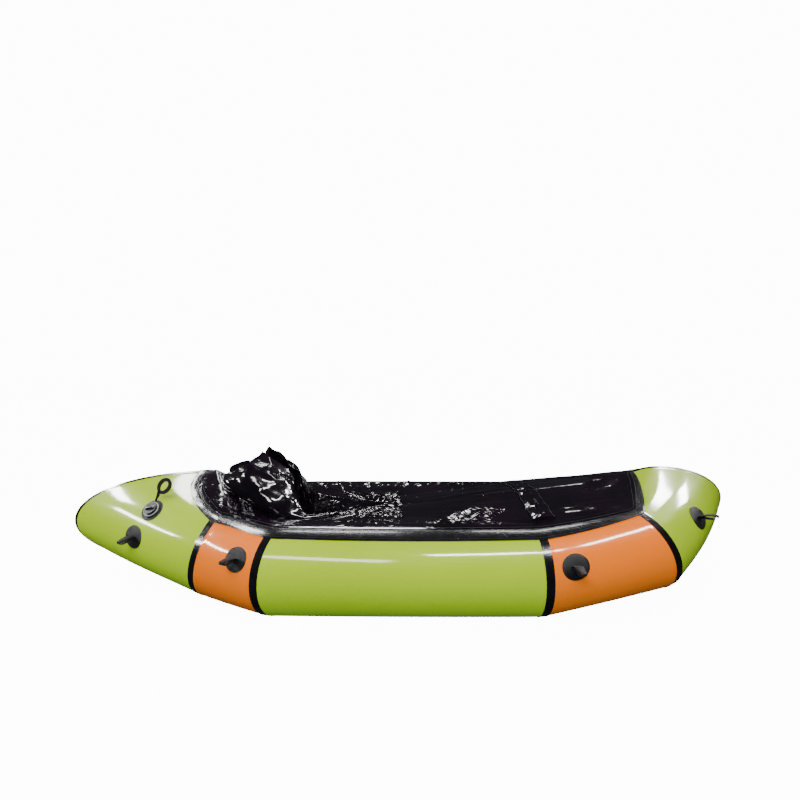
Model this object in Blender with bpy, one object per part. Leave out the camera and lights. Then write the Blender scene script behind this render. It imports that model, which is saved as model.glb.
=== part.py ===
"""A decked packraft, inflated and set down on the ground.

Metres. +X is the bow, +Y is port, +Z is up, and the origin is on the ground under the middle of the boat.

The boat is one inflated ring made of ten cut panels: two stern panels, two aft quarters, two sides, two
fore quarters and two bow panels. Each panel is a tube of cloth, open towards its neighbours, because the
air runs through them all. It is lofted between two seam sections, so it has the straight generators of a
cut and welded panel, and swells a little between its seams. Every other skin of the boat
(seam tapes, rim band, deck, patches, zip strip) is laid on the ring by the same surface function, one
layer above the other.
"""
import math

import bmesh
import bpy
import numpy as np
from mathutils import Matrix, Vector

# Overall sizes
BOAT_LENGTH = 2.45
TUBE_RADIUS = 0.157
TUBE_OFFSET = 0.330           # from the centre line to the axis of a side tube
FACETS_ROUND = 30             # facets round a tube

# Clearances and layers on the ring, counted outward from the tube's skin
GAP = 0.0003                  # between pieces that touch
TUBE_WALL = 0.0010            # of the coated cloth, counted inward
TAPE_THICKNESS = 0.0006
BAND_THICKNESS = 0.0008
DECK_THICKNESS = 0.0008
TAPE_TOP = GAP + TAPE_THICKNESS
BAND_FOOT = TAPE_TOP + 3 * GAP
BAND_TOP = BAND_FOOT + BAND_THICKNESS
DECK_FOOT = BAND_TOP + 3 * GAP
DECK_TOP = DECK_FOOT + DECK_THICKNESS
CUT_THROUGH = 0.004           # how far a cutter runs past the skin it cuts

# Seam between the stern panel and the aft quarter
STERN_LENGTH = 0.613          # from the stern's end to this seam
STERN_SEAM_X = STERN_LENGTH - BOAT_LENGTH / 2
STERN_SEAM_Y = 0.170
STERN_SEAM_RADIUS = 0.169
STERN_SEAM_INNER_RADIUS = 0.146
STERN_SEAM_LIFT = 0.006       # its lowest point above the ground
STERN_SEAM_TURN = -15.0       # degrees in plan
STERN_SEAM_LEAN = 18.0        # degrees, top towards the bow

# Seam between the aft quarter and the side
AFT_LENGTH = 0.862            # from the stern's end to this seam
AFT_SEAM_X = AFT_LENGTH - BOAT_LENGTH / 2
AFT_SEAM_TURN = -20.0
AFT_SEAM_LEAN = 6.5

# Seam between the side and the fore quarter
FORE_LENGTH = 0.748           # from the bow's end to this seam
FORE_SEAM_X = BOAT_LENGTH / 2 - FORE_LENGTH
FORE_SEAM_RADIUS = 0.152
FORE_SEAM_OUTSET = 0.005      # how much wider than the aft seam it stands
FORE_SEAM_TURN = 4.5
FORE_SEAM_LEAN = -4.0

# Seam between the fore quarter and the bow panel
BOW_LENGTH = 0.382            # from the bow's end to this seam
BOW_SEAM_X = BOAT_LENGTH / 2 - BOW_LENGTH
BOW_SEAM_Y = 0.267
BOW_SEAM_RADIUS = 0.150
BOW_SEAM_LIFT = 0.064
BOW_SEAM_TURN = 22.5
BOW_SEAM_LEAN = -24.5

# Stern seam on the centre plane: nose, crest, inner wall and keel of its outline
STERN_NOSE_Z = 0.224
STERN_CREST_BACK = 0.565      # from the nose to the crest
STERN_CREST_Z = 0.426
STERN_WALL_BACK = 0.645
STERN_WALL_Z = 0.205
STERN_KEEL_BACK = 0.545
STERN_KEEL_Z = 0.045

# Bow seam on the centre plane
BOW_NOSE_Z = 0.300
BOW_CREST_BACK = 0.257
BOW_CREST_Z = 0.428
BOW_WALL_BACK = 0.425
BOW_WALL_Z = 0.272
BOW_KEEL_BACK = 0.345
BOW_KEEL_Z = 0.112

# How far each panel swells at its outer side, halfway between its seams
STERN_SWELL = 0.014
QUARTER_SWELL = 0.006
SIDE_SWELL = 0.010
BOW_SWELL = 0.022
GROUND_PRESS = 0.003          # the side tubes are pressed flat by this much where they rest

# Tapes and rim
TAPE_WIDTH = 0.027
MOST_TAPE_SHARE = 0.3         # of a generator's length that half a tape may take
BAND_WIDTH = 0.075
BAND_WIDTH_SHARES = (1.0, 1.0, 1.0, 1.0, 0.80, 0.55)   # at the six seams, stern to bow
RIM_ANGLES = (84.0, 57.0, 58.0, 58.0, 74.0, 116.0)      # where the band starts, degrees up the tube
RIM_SIDE_DIP = 4.0                                      # lower than that halfway along the side
CREST_ANGLE = 98.0
LEAST_REST_ANGLE = 6.0                                  # the deck rests on the tube this far past the band
LAST_LEAVING_ANGLE = 160.0                              # the deck lies on the tube no further than this

TAPE_LOWER_END = -100
STERN_TAPE_TOP_ANGLE = 96
BOW_TAPE_TOP_ANGLE = 120

# Floor
FLOOR_FOOT = TAPE_TOP + GAP
FLOOR_THICKNESS = 0.0010
FLOOR_EDGE_ANGLE = -110.0
FLOOR_LEAVES_ANGLE = -120.0
FLOOR_SPINE_INSET = 0.120     # the centre line of the floor ends this far from its edge

# Deck, hatch, sleeve
HATCH_APEX_AHEAD = 0.377      # of the aft seam
HATCH_APEX_X = AFT_SEAM_X + HATCH_APEX_AHEAD
HATCH_LENGTH = 0.385          # from the apex to the centre of the round part
HATCH_RADIUS = 0.185
HATCH_SKEW = 5.0              # degrees that its axis turns to starboard
HATCH_APEX_Z = 0.285
HATCH_BACK_RISE = 0.086       # how much higher the back of the hatch stands than its apex
HATCH_RISE_POWER = 4
SLEEVE_AHEAD = 0.023          # of the fore seam
SLEEVE_X = FORE_SEAM_X + SLEEVE_AHEAD
SLEEVE_WIDTH = 0.076
SLEEVE_SPAN = 0.600
SLEEVE_ROWS = 13
SLEEVE_CLEARANCE = 0.0014
SLEEVE_WALL = 0.0008
SLEEVE_HEIGHT = 0.0085
BATTEN_WIDTH = 0.020
BATTEN_THICKNESS = 0.0040
PULL_LENGTH = 0.064
PULL_WIDTH = 0.034
PULL_THICKNESS = 0.002

# Spray skirt, let down behind the hatch
SKIRT_WALL = 0.0012
SKIRT_LIP = 0.014             # its height along the front of the hatch
SKIRT_RISE = 0.150
SKIRT_SPREAD = 0.110          # how far its back leans out over the rim
SKIRT_OUTSET = 0.004
SKIRT_HEAP_BACK = 0.264       # from the hatch's apex to where the heap starts
SKIRT_HEAP_FRONT = HATCH_APEX_X - SKIRT_HEAP_BACK
SKIRT_HEAP_BLEND = 0.130
SKIRT_HEM_BACK = 0.469        # from the hatch's apex to the middle of the hem
SKIRT_HEM_X = HATCH_APEX_X - SKIRT_HEM_BACK
SKIRT_HEM_Z = 0.515
SKIRT_HEM_SHARE = 0.42        # of the hatch's own outline
SKIRT_PEAK = 0.045
SKIRT_FOLDS = 7
SKIRT_FOLD_DEPTH = 0.014
SKIRT_ROWS = 6

# Seat
SEAT_FRONT_BACK = 0.249       # from the hatch's apex
SEAT_FRONT_X = HATCH_APEX_X - SEAT_FRONT_BACK
SEAT_LENGTH = 0.255
SEAT_WIDTH = 0.310
SEAT_HEIGHT = 0.075
SEAT_CHANNEL_DEPTH = 0.006
SEAT_SIDE_CLEARANCE = 0.010
SEAT_EDGE = 0.014
SEAT_ROUNDING = 0.12
SEAT_SQUARENESS = 0.45
SEAT_CHANNELS = 4
BACKREST_WIDTH = 0.235
BACKREST_HEIGHT = 0.165
BACKREST_THICKNESS = 0.050
BACKREST_SET_BACK = 0.120     # its foot behind the seat's front edge
BACKREST_CLEARANCE = 0.0013
STRAP_THICKNESS = 0.0016
STRAP_LENGTH = 0.050
STRAP_LIFT = 0.0012
SEAT_STRAP_BACK = 0.050       # from the seat's front
SEAT_STRAP_X = SEAT_FRONT_X - SEAT_STRAP_BACK
SEAT_STRAP_ANGLES = (150, 172)

# Seat valve
SEAT_VALVE_RADIUS = 0.011
SEAT_VALVE_HEIGHT = 0.012
SEAT_CAP_WALL = 0.002
SEAT_VALVE_SHARE = 9 / 85     # of the seat's length, from its front
SEAT_VALVE_X = SEAT_FRONT_X - SEAT_VALVE_SHARE * SEAT_LENGTH
SEAT_VALVE_ANGLE = 25
SEAT_VALVE_LIFT = 0.0006

# Inflation valve on the starboard stern
VALVE_FLANGE_RADIUS = 0.043
VALVE_RING_RADIUS = 0.031
VALVE_RING_HEIGHT = 0.0055
VALVE_RING_SINK = 0.0035
VALVE_FLOOR_WALL = 0.0015
VALVE_BORE_RADIUS = 0.0190
VALVE_BARREL_RADIUS = 0.0235
VALVE_BARREL_DEPTH = 0.022
VALVE_SEAT_RADIUS = 0.012
PLUG_HEAD_RADIUS = 0.0225
PLUG_HEAD_HEIGHT = 0.0045
PLUG_STEM_RADIUS = 0.0180
PLUG_STEM_DEPTH = 0.014
PLUG_CHAMFER = 0.001
PLUG_RIDGE_HEIGHT = 0.007
PLUG_RIDGE_WIDTH = 0.007
GASKET_THICKNESS = 0.0016
GASKET_RADIUS = 0.0215
LEASH_RING_LENGTH = 0.074
LEASH_RING_WIDTH = 0.045
LEASH_BAND = 0.0095
LEASH_THICKNESS = 0.0032
LEASH_STRAP_LENGTH = 0.038
LEASH_STRAP_WIDTH = 0.005
LEASH_ROOT_UP = 0.036         # from the valve's centre to the strap's root
LEASH_ROOT_AFT = 0.014
LEASH_LIFT = 0.0025           # of the strap's root above the flange
LEASH_LEAN = 30.0             # degrees that the strap leans towards the bow
LEASH_BEND = 22.0             # degrees that the ring leans further
LEASH_MOUTH = 14.0            # degrees of the ring on each side of the strap
LEASH_POINTS = 24

# Round patches and webbing loops
PATCH_RADIUS = 0.0425
PATCH_THICKNESS = 0.0010
PATCH_FOOT = 0.0006           # above the tube's skin
LOOP_LENGTH = 0.058
LOOP_WIDTH = 0.026
LOOP_WEBBING = 0.0020
LOOP_EYE = 0.0085             # widest gap between the two layers
LOOP_ROOT = 0.012             # sewn length before the eye opens
LOOP_DROOP = 12.0             # degrees below the tube's normal

# Cargo zip on the port stern
ZIP_STRIP_WIDTH = 0.076
ZIP_STRIP_THICKNESS = 0.0008
ZIP_FOOT = 0.0010             # above the tube's skin
ZIP_START_SHARE = 0.50        # of the strip's length, where the chain starts
ZIP_CHAIN_WIDTH = 0.008
ZIP_CHAIN_HEIGHT = 0.0026
ZIP_TEETH = 30
ZIP_ROWS = 13
ZIP_COLUMNS = 5
SLIDER_CLEARANCE = 0.0005
SLIDER_FOOT = 0.0010          # above the strip
SLIDER_TRAVEL = 0.050
SLIDER_LENGTH = 0.024
SLIDER_WIDTH = 0.013
SLIDER_HEIGHT = 0.007
PULL_TAB_LENGTH = 0.036
PULL_TAB_WIDTH = 0.010
PULL_TAB_THICKNESS = 0.0025
DOCK_LENGTH = 0.016

# Places on the ring: panel, share of the way to its next seam, angle round the tube in degrees
STERN, AFT_QUARTER, SIDE, FORE_QUARTER, BOW = range(5)
PATCH_PLACES = {
    "stern": (STERN, 0.56, 10.0),
    "aft": (AFT_QUARTER, 0.69, 24.0),
    "fore": (FORE_QUARTER, 0.20, 19.0),
    "bow": (BOW, 0.41, 22.0),
}
STERN_PORT_PATCH_PLACE = (STERN, 0.56, -8.0)   # lower than its twin, clear of the zip
VALVE_PLACE = (STERN, 0.53, 40.0)
PULL_PLACE = (AFT_QUARTER, 0.864, 74.0)
ZIP_PLACE_FORE = (STERN, 0.655, 51.0)
ZIP_PLACE_AFT = (STERN, 0.15, 4.0)
ZIP_CURVE = 2.6               # how late the zip's line climbs

# Grids and small shares
GRID = np.arange(0, 360, 360 / FACETS_ROUND)
ROW_SHARES = ((0.14, 0.34, 0.56, 0.78), (0.33, 0.67), (0.06, 0.35, 0.65, 0.94), (0.2, 0.55),
              (0.25, 0.5, 0.75))
TUBE_SHARES = (*ROW_SHARES[:SIDE], ROW_SHARES[SIDE][1:-1], *ROW_SHARES[FORE_QUARTER:])
SWELLS = (STERN_SWELL, QUARTER_SWELL, SIDE_SWELL, QUARTER_SWELL, BOW_SWELL)
PANEL_NAMES = ("stern", "aft_quarter", "side", "fore_quarter", "bow")
SEAM_NAMES = ("stern", "aft", "fore", "bow")
DECK_SHARES = (0.35, 0.7)     # of the way from the tube to the hatch
BAND_COLUMNS = 5
TURNED_FACETS = 24
SMALL_TURNED_FACETS = 16
PATCH_FACETS = 16
PATCH_RINGS = 3
SMALL_STEP = 0.0005           # share or radian, for slopes
LEAST_MITRE = 0.15
WELD_DIGITS = 7
SHARP_ANGLE = 35

LIME = (0.52, 0.60, 0.10)
ORANGE = (0.95, 0.28, 0.02)
BLACK = (0.012, 0.012, 0.014)
DARK_GREY = (0.045, 0.045, 0.052)
LIGHT_GREY = (0.55, 0.56, 0.57)


def unit(vectors):
    return vectors / np.linalg.norm(vectors, axis=-1, keepdims=True)


def end_outline(facing, nose, crest, wall, keel, angles):
    """Outline of a seam on the centre plane: quarter ellipses through its nose, crest, wall and keel."""
    cos, sin = np.cos(angles), np.sin(angles)
    middle_x = np.where(sin >= 0, crest[0], keel[0])
    side_x = np.where(cos >= 0, nose[0], wall[0])
    side_z = np.where(cos >= 0, nose[1], wall[1])
    length = np.abs(side_x - middle_x)
    height = np.abs(np.where(sin >= 0, crest[1], keel[1]) - side_z)
    level = np.zeros_like(cos)
    points = np.stack([middle_x + facing * length * cos, level, side_z + height * sin], -1)
    return points, unit(np.stack([facing * height * cos, level, length * sin], -1))


def ring_outline(centre, radius, inner_radius, turn, lean, angles):
    """Outline of a seam round the tube, turned in plan and leaning along the boat."""
    turn, lean = math.radians(turn), math.radians(lean)
    out = np.array((math.sin(turn), math.cos(turn), 0))
    up = np.array((math.sin(lean) * math.cos(turn), -math.sin(lean) * math.sin(turn), math.cos(lean)))
    cos, sin = np.cos(angles)[:, None], np.sin(angles)[:, None]
    across = np.where(cos >= 0, radius, inner_radius)
    points = np.array(centre) + across * cos * out + radius * sin * up
    return points, unit(radius * cos * out + across * sin * up)


def lifted(radius, lean, lift):
    """Height of a ring's centre when its lowest point is at lift."""
    return lift + radius * math.cos(math.radians(lean))


def seam_outline(seam, angles):
    """Points and outward normals of one of the six seams of the port tube, counted from the stern."""
    angles = np.atleast_1d(angles)
    end = BOAT_LENGTH / 2
    if seam == 0:
        return end_outline(-1, (-end, STERN_NOSE_Z), (-end + STERN_CREST_BACK, STERN_CREST_Z),
                           (-end + STERN_WALL_BACK, STERN_WALL_Z),
                           (-end + STERN_KEEL_BACK, STERN_KEEL_Z), angles)
    if seam == 1:
        z = lifted(STERN_SEAM_RADIUS, STERN_SEAM_LEAN, STERN_SEAM_LIFT)
        return ring_outline((STERN_SEAM_X, STERN_SEAM_Y, z), STERN_SEAM_RADIUS, STERN_SEAM_INNER_RADIUS,
                            STERN_SEAM_TURN, STERN_SEAM_LEAN, angles)
    if seam == 2:
        z = lifted(TUBE_RADIUS, AFT_SEAM_LEAN, -GROUND_PRESS)
        return ring_outline((AFT_SEAM_X, TUBE_OFFSET, z), TUBE_RADIUS, TUBE_RADIUS,
                            AFT_SEAM_TURN, AFT_SEAM_LEAN, angles)
    if seam == 3:
        z = lifted(FORE_SEAM_RADIUS, FORE_SEAM_LEAN, -GROUND_PRESS)
        return ring_outline((FORE_SEAM_X, TUBE_OFFSET + FORE_SEAM_OUTSET, z), FORE_SEAM_RADIUS,
                            FORE_SEAM_RADIUS, FORE_SEAM_TURN, FORE_SEAM_LEAN, angles)
    if seam == 4:
        z = lifted(BOW_SEAM_RADIUS, BOW_SEAM_LEAN, BOW_SEAM_LIFT)
        return ring_outline((BOW_SEAM_X, BOW_SEAM_Y, z), BOW_SEAM_RADIUS, BOW_SEAM_RADIUS,
                            BOW_SEAM_TURN, BOW_SEAM_LEAN, angles)
    return end_outline(1, (end, BOW_NOSE_Z), (end - BOW_CREST_BACK, BOW_CREST_Z),
                       (end - BOW_WALL_BACK, BOW_WALL_Z), (end - BOW_KEEL_BACK, BOW_KEEL_Z), angles)


def surface(panel, share, angles):
    """Points of the port tube's skin, a share of the way along a panel."""
    angles = np.atleast_1d(angles)
    start, start_normals = seam_outline(panel, angles)
    end, end_normals = seam_outline(panel + 1, angles)
    share = (np.zeros_like(angles) + share)[:, None]
    normals = unit(start_normals * (1 - share) + end_normals * share)
    bulge = SWELLS[panel] * 4 * share * (1 - share) * np.maximum(np.cos(angles), 0)[:, None] ** 2
    return start * (1 - share) + end * share + normals * bulge


def skin(panel, share, angles):
    """Points and outward normals of the port tube's skin."""
    along = surface(panel, share + SMALL_STEP, angles) - surface(panel, share - SMALL_STEP, angles)
    round_tube = surface(panel, share, angles + SMALL_STEP) - surface(panel, share, angles - SMALL_STEP)
    return surface(panel, share, angles), unit(np.cross(round_tube, along))


def half_tape_shares(panel, angles):
    """Share of each generator of a panel that half a tape's width takes."""
    start, end = seam_outline(panel, angles)[0], seam_outline(panel + 1, angles)[0]
    return np.minimum(TAPE_WIDTH / 2 / np.linalg.norm(end - start, axis=1), MOST_TAPE_SHARE)


def row_frame(row, angles):
    """Points of one row of the skin and the vectors that lift them off it.

    A row is a panel and a step. Step None is the seam before the panel, and steps 0 to 1 run between
    the edges of the panel's two tapes.
    """
    panel, step = row
    if step is not None:
        half = half_tape_shares(panel, angles)
        return skin(panel, half + step * (1 - 2 * half), angles)
    if panel in (STERN, BOW + 1):
        points, lift = skin(min(panel, BOW), 1 if panel > BOW else 0, angles)
        lift[:, 1] = 0
        return points, lift / np.maximum((lift ** 2).sum(1, keepdims=True), LEAST_MITRE)
    before, after = row_frame((panel - 1, 1.0), angles), row_frame((panel, 0.0), angles)
    return (before[0] + after[0]) / 2, unit(before[1] + after[1])


def section(row, degrees, offset=0.0, side=1):
    """Points of one row, offset outward from the skin. Side is 1 to port and -1 to starboard."""
    points, lift = row_frame(row, np.radians(np.atleast_1d(np.asarray(degrees, float))))
    points = points + lift * offset
    ground = max((TAPE_TOP if row[1] in (None, 0.0, 1.0) else 0) - offset, 0)
    points[:, 2] = np.maximum(points[:, 2], ground)
    return points * (1, side, 1)


def panel_rows(panel):
    return [(panel, None), (panel, 0.0)] + [(panel, share) for share in ROW_SHARES[panel]] + [(panel, 1.0)]


def ring_rows():
    """All rows of one side, from the stern seam to the bow seam."""
    return [row for panel in range(5) for row in panel_rows(panel)] + [(BOW + 1, None)]


def both_sides(rows):
    """Rows of the whole ring as one loop: port from stern to bow, then starboard back to the stern."""
    return [(row, 1) for row in rows] + [(row, -1) for row in rows[-2:0:-1]]


def rim_angles(row):
    """Angles where the rim band starts and ends on a row."""
    panel, step = row
    at = step or 0.0
    following = min(panel + 1, BOW + 1)
    start = RIM_ANGLES[panel] * (1 - at) + RIM_ANGLES[following] * at
    width = BAND_WIDTH * (BAND_WIDTH_SHARES[panel] * (1 - at) + BAND_WIDTH_SHARES[following] * at)
    if panel == SIDE:
        start -= RIM_SIDE_DIP * 4 * at * (1 - at)
    fine = np.linspace(start, 180, 200)
    along = np.linalg.norm(np.diff(section(row, fine), axis=0), axis=1)
    return start, float(np.interp(width, np.concatenate([[0], np.cumsum(along)]), fine))


def walk(place, forward, up):
    """Shares and angles on a panel's skin, reached from a place by steps in its tangent plane."""
    panel, share, degrees = place
    forward, up = np.atleast_1d(forward), np.atleast_1d(up)
    shares, angles = np.full(len(up), float(share)), np.full(len(up), math.radians(degrees))
    point, normal = skin(panel, shares, angles)
    along = surface(panel, shares + SMALL_STEP, angles) - point
    along = unit(along - normal * (along * normal).sum(1, keepdims=True))
    target = point + along * forward[:, None] + np.cross(along, normal) * up[:, None]
    for attempt in range(6):
        point = surface(panel, shares, angles)
        by_share = (surface(panel, shares + SMALL_STEP, angles) - point) / SMALL_STEP
        by_angle = (surface(panel, shares, angles + SMALL_STEP) - point) / SMALL_STEP
        for index in range(len(up)):
            slopes = np.stack([by_share[index], by_angle[index]], 1)
            change = np.linalg.lstsq(slopes, (target - point)[index], rcond=None)[0]
            shares[index] += change[0]
            angles[index] += change[1]
    return shares, angles


def laid(place, forward, up, offset, side):
    """Points laid on the tube's skin round a place."""
    shares, angles = walk(place, forward, up)
    points, normals = skin(place[0], shares, angles)
    return (points + normals * offset) * (1, side, 1)


def frame_at(place, side, offset=0.0, heading=(1, 0, 0)):
    """Matrix standing on the tube's skin at a place: Z outward, X along the heading."""
    point, normal = skin(place[0], place[1], math.radians(place[2]))
    point, normal = point[0] * (1, side, 1), normal[0] * (1, side, 1)
    ahead = unit(np.array(heading) - normal * np.dot(heading, normal))
    return frame(point + normal * offset, ahead, normal)


def frame(origin, x_axis, z_axis):
    y_axis = np.cross(z_axis, x_axis)
    made = Matrix.Identity(4)
    for index, axis in enumerate((x_axis, y_axis, z_axis, origin)):
        made.col[index][:3] = axis
    return made


def clear_scene():
    for item in list(bpy.data.objects):
        bpy.data.objects.remove(item, do_unlink=True)


def material(name, colour, roughness):
    made = bpy.data.materials.new(name)
    made.use_nodes = True
    shader = made.node_tree.nodes["Principled BSDF"]
    shader.inputs["Base Color"].default_value = (*colour, 1)
    shader.inputs["Roughness"].default_value = roughness
    shader.inputs["Metallic"].default_value = 0
    return made


def add_solid(name, points, faces, finish, place=None):
    """A closed body from points and faces. Points that meet become one, and faces turn outward."""
    welded, index, seen = {}, [], {}
    for point in points:
        index.append(welded.setdefault(tuple(np.round(point, WELD_DIGITS)), len(welded)))
    for face in faces:
        corners = tuple(dict.fromkeys(index[corner] for corner in face))
        if len(corners) > 2:
            seen.setdefault(frozenset(corners), []).append(corners)
    shape = bmesh.new()
    corners = [shape.verts.new(point) for point in welded]
    for doubles in seen.values():
        if len(doubles) == 1:
            shape.faces.new([corners[corner] for corner in doubles[0]])
    bmesh.ops.recalc_face_normals(shape, faces=shape.faces)
    mesh = bpy.data.meshes.new(name)
    shape.to_mesh(mesh)
    shape.free()
    mesh.shade_smooth()
    mesh.set_sharp_from_angle(angle=math.radians(SHARP_ANGLE))
    mesh.materials.append(material(name, *finish))
    made = bpy.data.objects.new(name, mesh)
    bpy.context.collection.objects.link(made)
    if place is not None:
        made.matrix_world = place
    return made


def rehome(made, place):
    """Moves an object's origin to a joint's axis without moving its shape."""
    made.data.transform(place.inverted() @ made.matrix_world)
    made.matrix_world = place
    return made


def split_quad(a, b, c, d):
    return [(a, b, c), (a, c, d)]


def slab(name, upper, lower, finish, rows_close=False, columns_close=False, place=None, port_spans=None):
    """A closed body between two matching grids of points.

    Where the closed direction runs round the whole ring, port_spans is the number of its port spans,
    and the starboard ones are split along the mirrored diagonal.
    """
    upper, lower = np.array(upper), np.array(lower)
    rows, columns = upper.shape[:2]
    faces = []

    def at(row, column, layer):
        return layer * rows * columns + (row % rows) * columns + column % columns

    row_spans = rows if rows_close else rows - 1
    column_spans = columns if columns_close else columns - 1
    for row in range(row_spans):
        for column in range(column_spans):
            mirrored = port_spans is not None and (row if rows_close else column) >= port_spans
            for layer in (0, 1):
                corners = [at(row, column, layer), at(row + 1, column, layer),
                           at(row + 1, column + 1, layer), at(row, column + 1, layer)]
                faces += split_quad(*(corners[1:] + corners[:1] if mirrored else corners))
    if not rows_close:
        for row in (0, rows - 1):
            for column in range(column_spans):
                faces.append((at(row, column, 0), at(row, column + 1, 0),
                              at(row, column + 1, 1), at(row, column, 1)))
    if not columns_close:
        for column in (0, columns - 1):
            for row in range(row_spans):
                faces.append((at(row, column, 0), at(row + 1, column, 0),
                              at(row + 1, column, 1), at(row, column, 1)))
    return add_solid(name, np.concatenate([upper.reshape(-1, 3), lower.reshape(-1, 3)]), faces, finish, place)


def lofted(name, loops, finish, place=None):
    """A closed body through loops of points, with fanned ends."""
    loops = np.array(loops)
    rows, columns = loops.shape[:2]
    points = np.concatenate([loops.reshape(-1, 3), [loops[0].mean(0)], [loops[-1].mean(0)]])
    faces = []
    for row in range(rows - 1):
        for column in range(columns):
            after = (column + 1) % columns
            low, high = row * columns, (row + 1) * columns
            faces += split_quad(low + column, high + column, high + after, low + after)
    for column in range(columns):
        after = (column + 1) % columns
        faces.append((rows * columns, column, after))
        faces.append((rows * columns + 1, (rows - 1) * columns + column, (rows - 1) * columns + after))
    return add_solid(name, points, faces, finish, place)


def turned(name, profile, finish, place, closed=True, facets=TURNED_FACETS):
    """A body turned round Z from a profile of radius and height."""
    turns = np.linspace(0, 2 * math.pi, facets, endpoint=False)
    points = [(radius * math.cos(turn), radius * math.sin(turn), height)
              for radius, height in profile for turn in turns]
    faces = []
    for ring in range(len(profile) if closed else len(profile) - 1):
        following = (ring + 1) % len(profile)
        for index in range(facets):
            after = (index + 1) % facets
            faces.append((ring * facets + index, ring * facets + after,
                          following * facets + after, following * facets + index))
    return add_solid(name, points, faces, finish, place)


def ring_panel(name, panel, side, finish):
    """A tube of cloth between two seams, open at both ends and drawn back from its neighbours by half a gap.

    Its cloth is skived to an edge where it meets its neighbour under the tape.
    """
    shares = [(panel, share) for share in (0.0, *TUBE_SHARES[panel], 1.0)]
    layers = []
    for offset in (0, -TUBE_WALL):
        loops = [section(row, GRID, offset, side) for row in shares]
        for end, seam, draw in ((0, panel, GAP / 2), (len(loops) + 1, panel + 1, -GAP / 2)):
            edge = section((seam, None), GRID, 0, side)
            spokes = edge - edge.mean(0)
            forward = side * unit(np.cross(spokes, np.roll(spokes, -1, axis=0)).sum(0))
            loops.insert(end, edge + forward * draw)
        layers.append(loops)
    return slab(name, *layers, finish, columns_close=True)


def ring_tape(name, seam, side, finish):
    rows = [(seam - 1, 1.0), (seam, None), (seam, 0.0)]
    rows = rows if seam in (AFT_QUARTER, SIDE, FORE_QUARTER) else rows[::2]
    layers = [[section(row, GRID, offset, side) for row in rows] for offset in (TAPE_TOP, GAP)]
    return slab(name, *layers, finish, columns_close=True)


def centre_tape(name, seam, upper_end, finish):
    edge = (STERN, 0.0) if seam == STERN else (BOW, 1.0)
    rows = [(edge, 1), ((seam, None), 1), (edge, -1)]
    degrees = np.arange(upper_end, TAPE_LOWER_END - 1, -360 / FACETS_ROUND)
    layers = [[section(row, degrees, offset, side) for row, side in rows]
              for offset in (TAPE_TOP + GAP, 2 * GAP)]
    return slab(name, *layers, finish)


def rim_band(finish):
    layers = []
    for offset in (BAND_TOP, BAND_FOOT):
        layers.append([section(row, np.linspace(*rim_angles(row), BAND_COLUMNS), offset, side)
                       for row, side in both_sides(ring_rows())])
    return slab("rim_band", *layers, finish, rows_close=True, port_spans=len(ring_rows()) - 1)


def floor_sheet(finish):
    """The floor, glued under the ring all the way round and flat between the tubes."""
    rows = both_sides(ring_rows())
    layers = []
    x = np.array([section(row, FLOOR_LEAVES_ANGLE)[0][0] for row, side in rows])
    x = np.clip(x, x[0] + FLOOR_SPINE_INSET, x[len(ring_rows()) - 1] - FLOOR_SPINE_INSET)
    for drop in (0, FLOOR_THICKNESS):
        offset = FLOOR_FOOT + drop
        spine = [(at, 0, floor_height(at) - drop) for at in x]
        leaves, edge = ([section(row, angle, offset, side)[0] for row, side in rows]
                        for angle in (FLOOR_LEAVES_ANGLE, FLOOR_EDGE_ANGLE))
        layers.append([spine, leaves, edge])
    return slab("floor_sheet", *layers, finish, columns_close=True, port_spans=len(ring_rows()) - 1)


def hatch_radius(turns):
    """Distance of the hatch's edge from the centre of its round part."""
    spread = math.acos(HATCH_RADIUS / HATCH_LENGTH)
    return HATCH_RADIUS / np.cos(np.maximum(spread - np.abs(turns), 0))


def hatch_centre():
    skew = math.radians(HATCH_SKEW)
    return np.array((HATCH_APEX_X - HATCH_LENGTH * math.cos(skew), -HATCH_LENGTH * math.sin(skew), 0)), skew


def hatch_turns():
    """Turn from the hatch's axis of each row of the ring, seen from the middle of the hatch."""
    centre, skew = hatch_centre()
    reach = np.array([section(row, CREST_ANGLE, 0, side)[0] for row, side in both_sides(ring_rows())]) - centre
    turns = (np.arctan2(reach[:, 1], reach[:, 0]) + math.pi - skew) % (2 * math.pi) - math.pi
    bow = turns[len(ring_rows()) - 1]
    return turns - bow * (1 - np.abs(turns - bow) / (2 * math.pi)) ** 4


def hatch_edge(turns, outset=0.0):
    """Points on the hatch's edge, higher towards the back."""
    centre, skew = hatch_centre()
    reach = hatch_radius(turns) + outset
    headings = np.stack([np.cos(turns + skew), np.sin(turns + skew), np.zeros_like(turns)], 1)
    points = centre + headings * reach[:, None]
    back = np.clip((HATCH_APEX_X - points[:, 0]) / (HATCH_LENGTH + HATCH_RADIUS), 0, 1)
    points[:, 2] = HATCH_APEX_Z + HATCH_BACK_RISE * back ** HATCH_RISE_POWER
    return points, headings


def leaving_angle(row, side, lowest, target):
    """Angle where a cloth drawn over the tube to a target leaves the tube."""
    degrees = np.linspace(lowest, LAST_LEAVING_ANGLE, 90)
    points = section(row, degrees, DECK_FOOT, side) - target
    slopes = np.arctan2(points[:, 2], np.hypot(points[:, 0], points[:, 1]))
    return degrees[np.argmax(slopes)]


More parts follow.
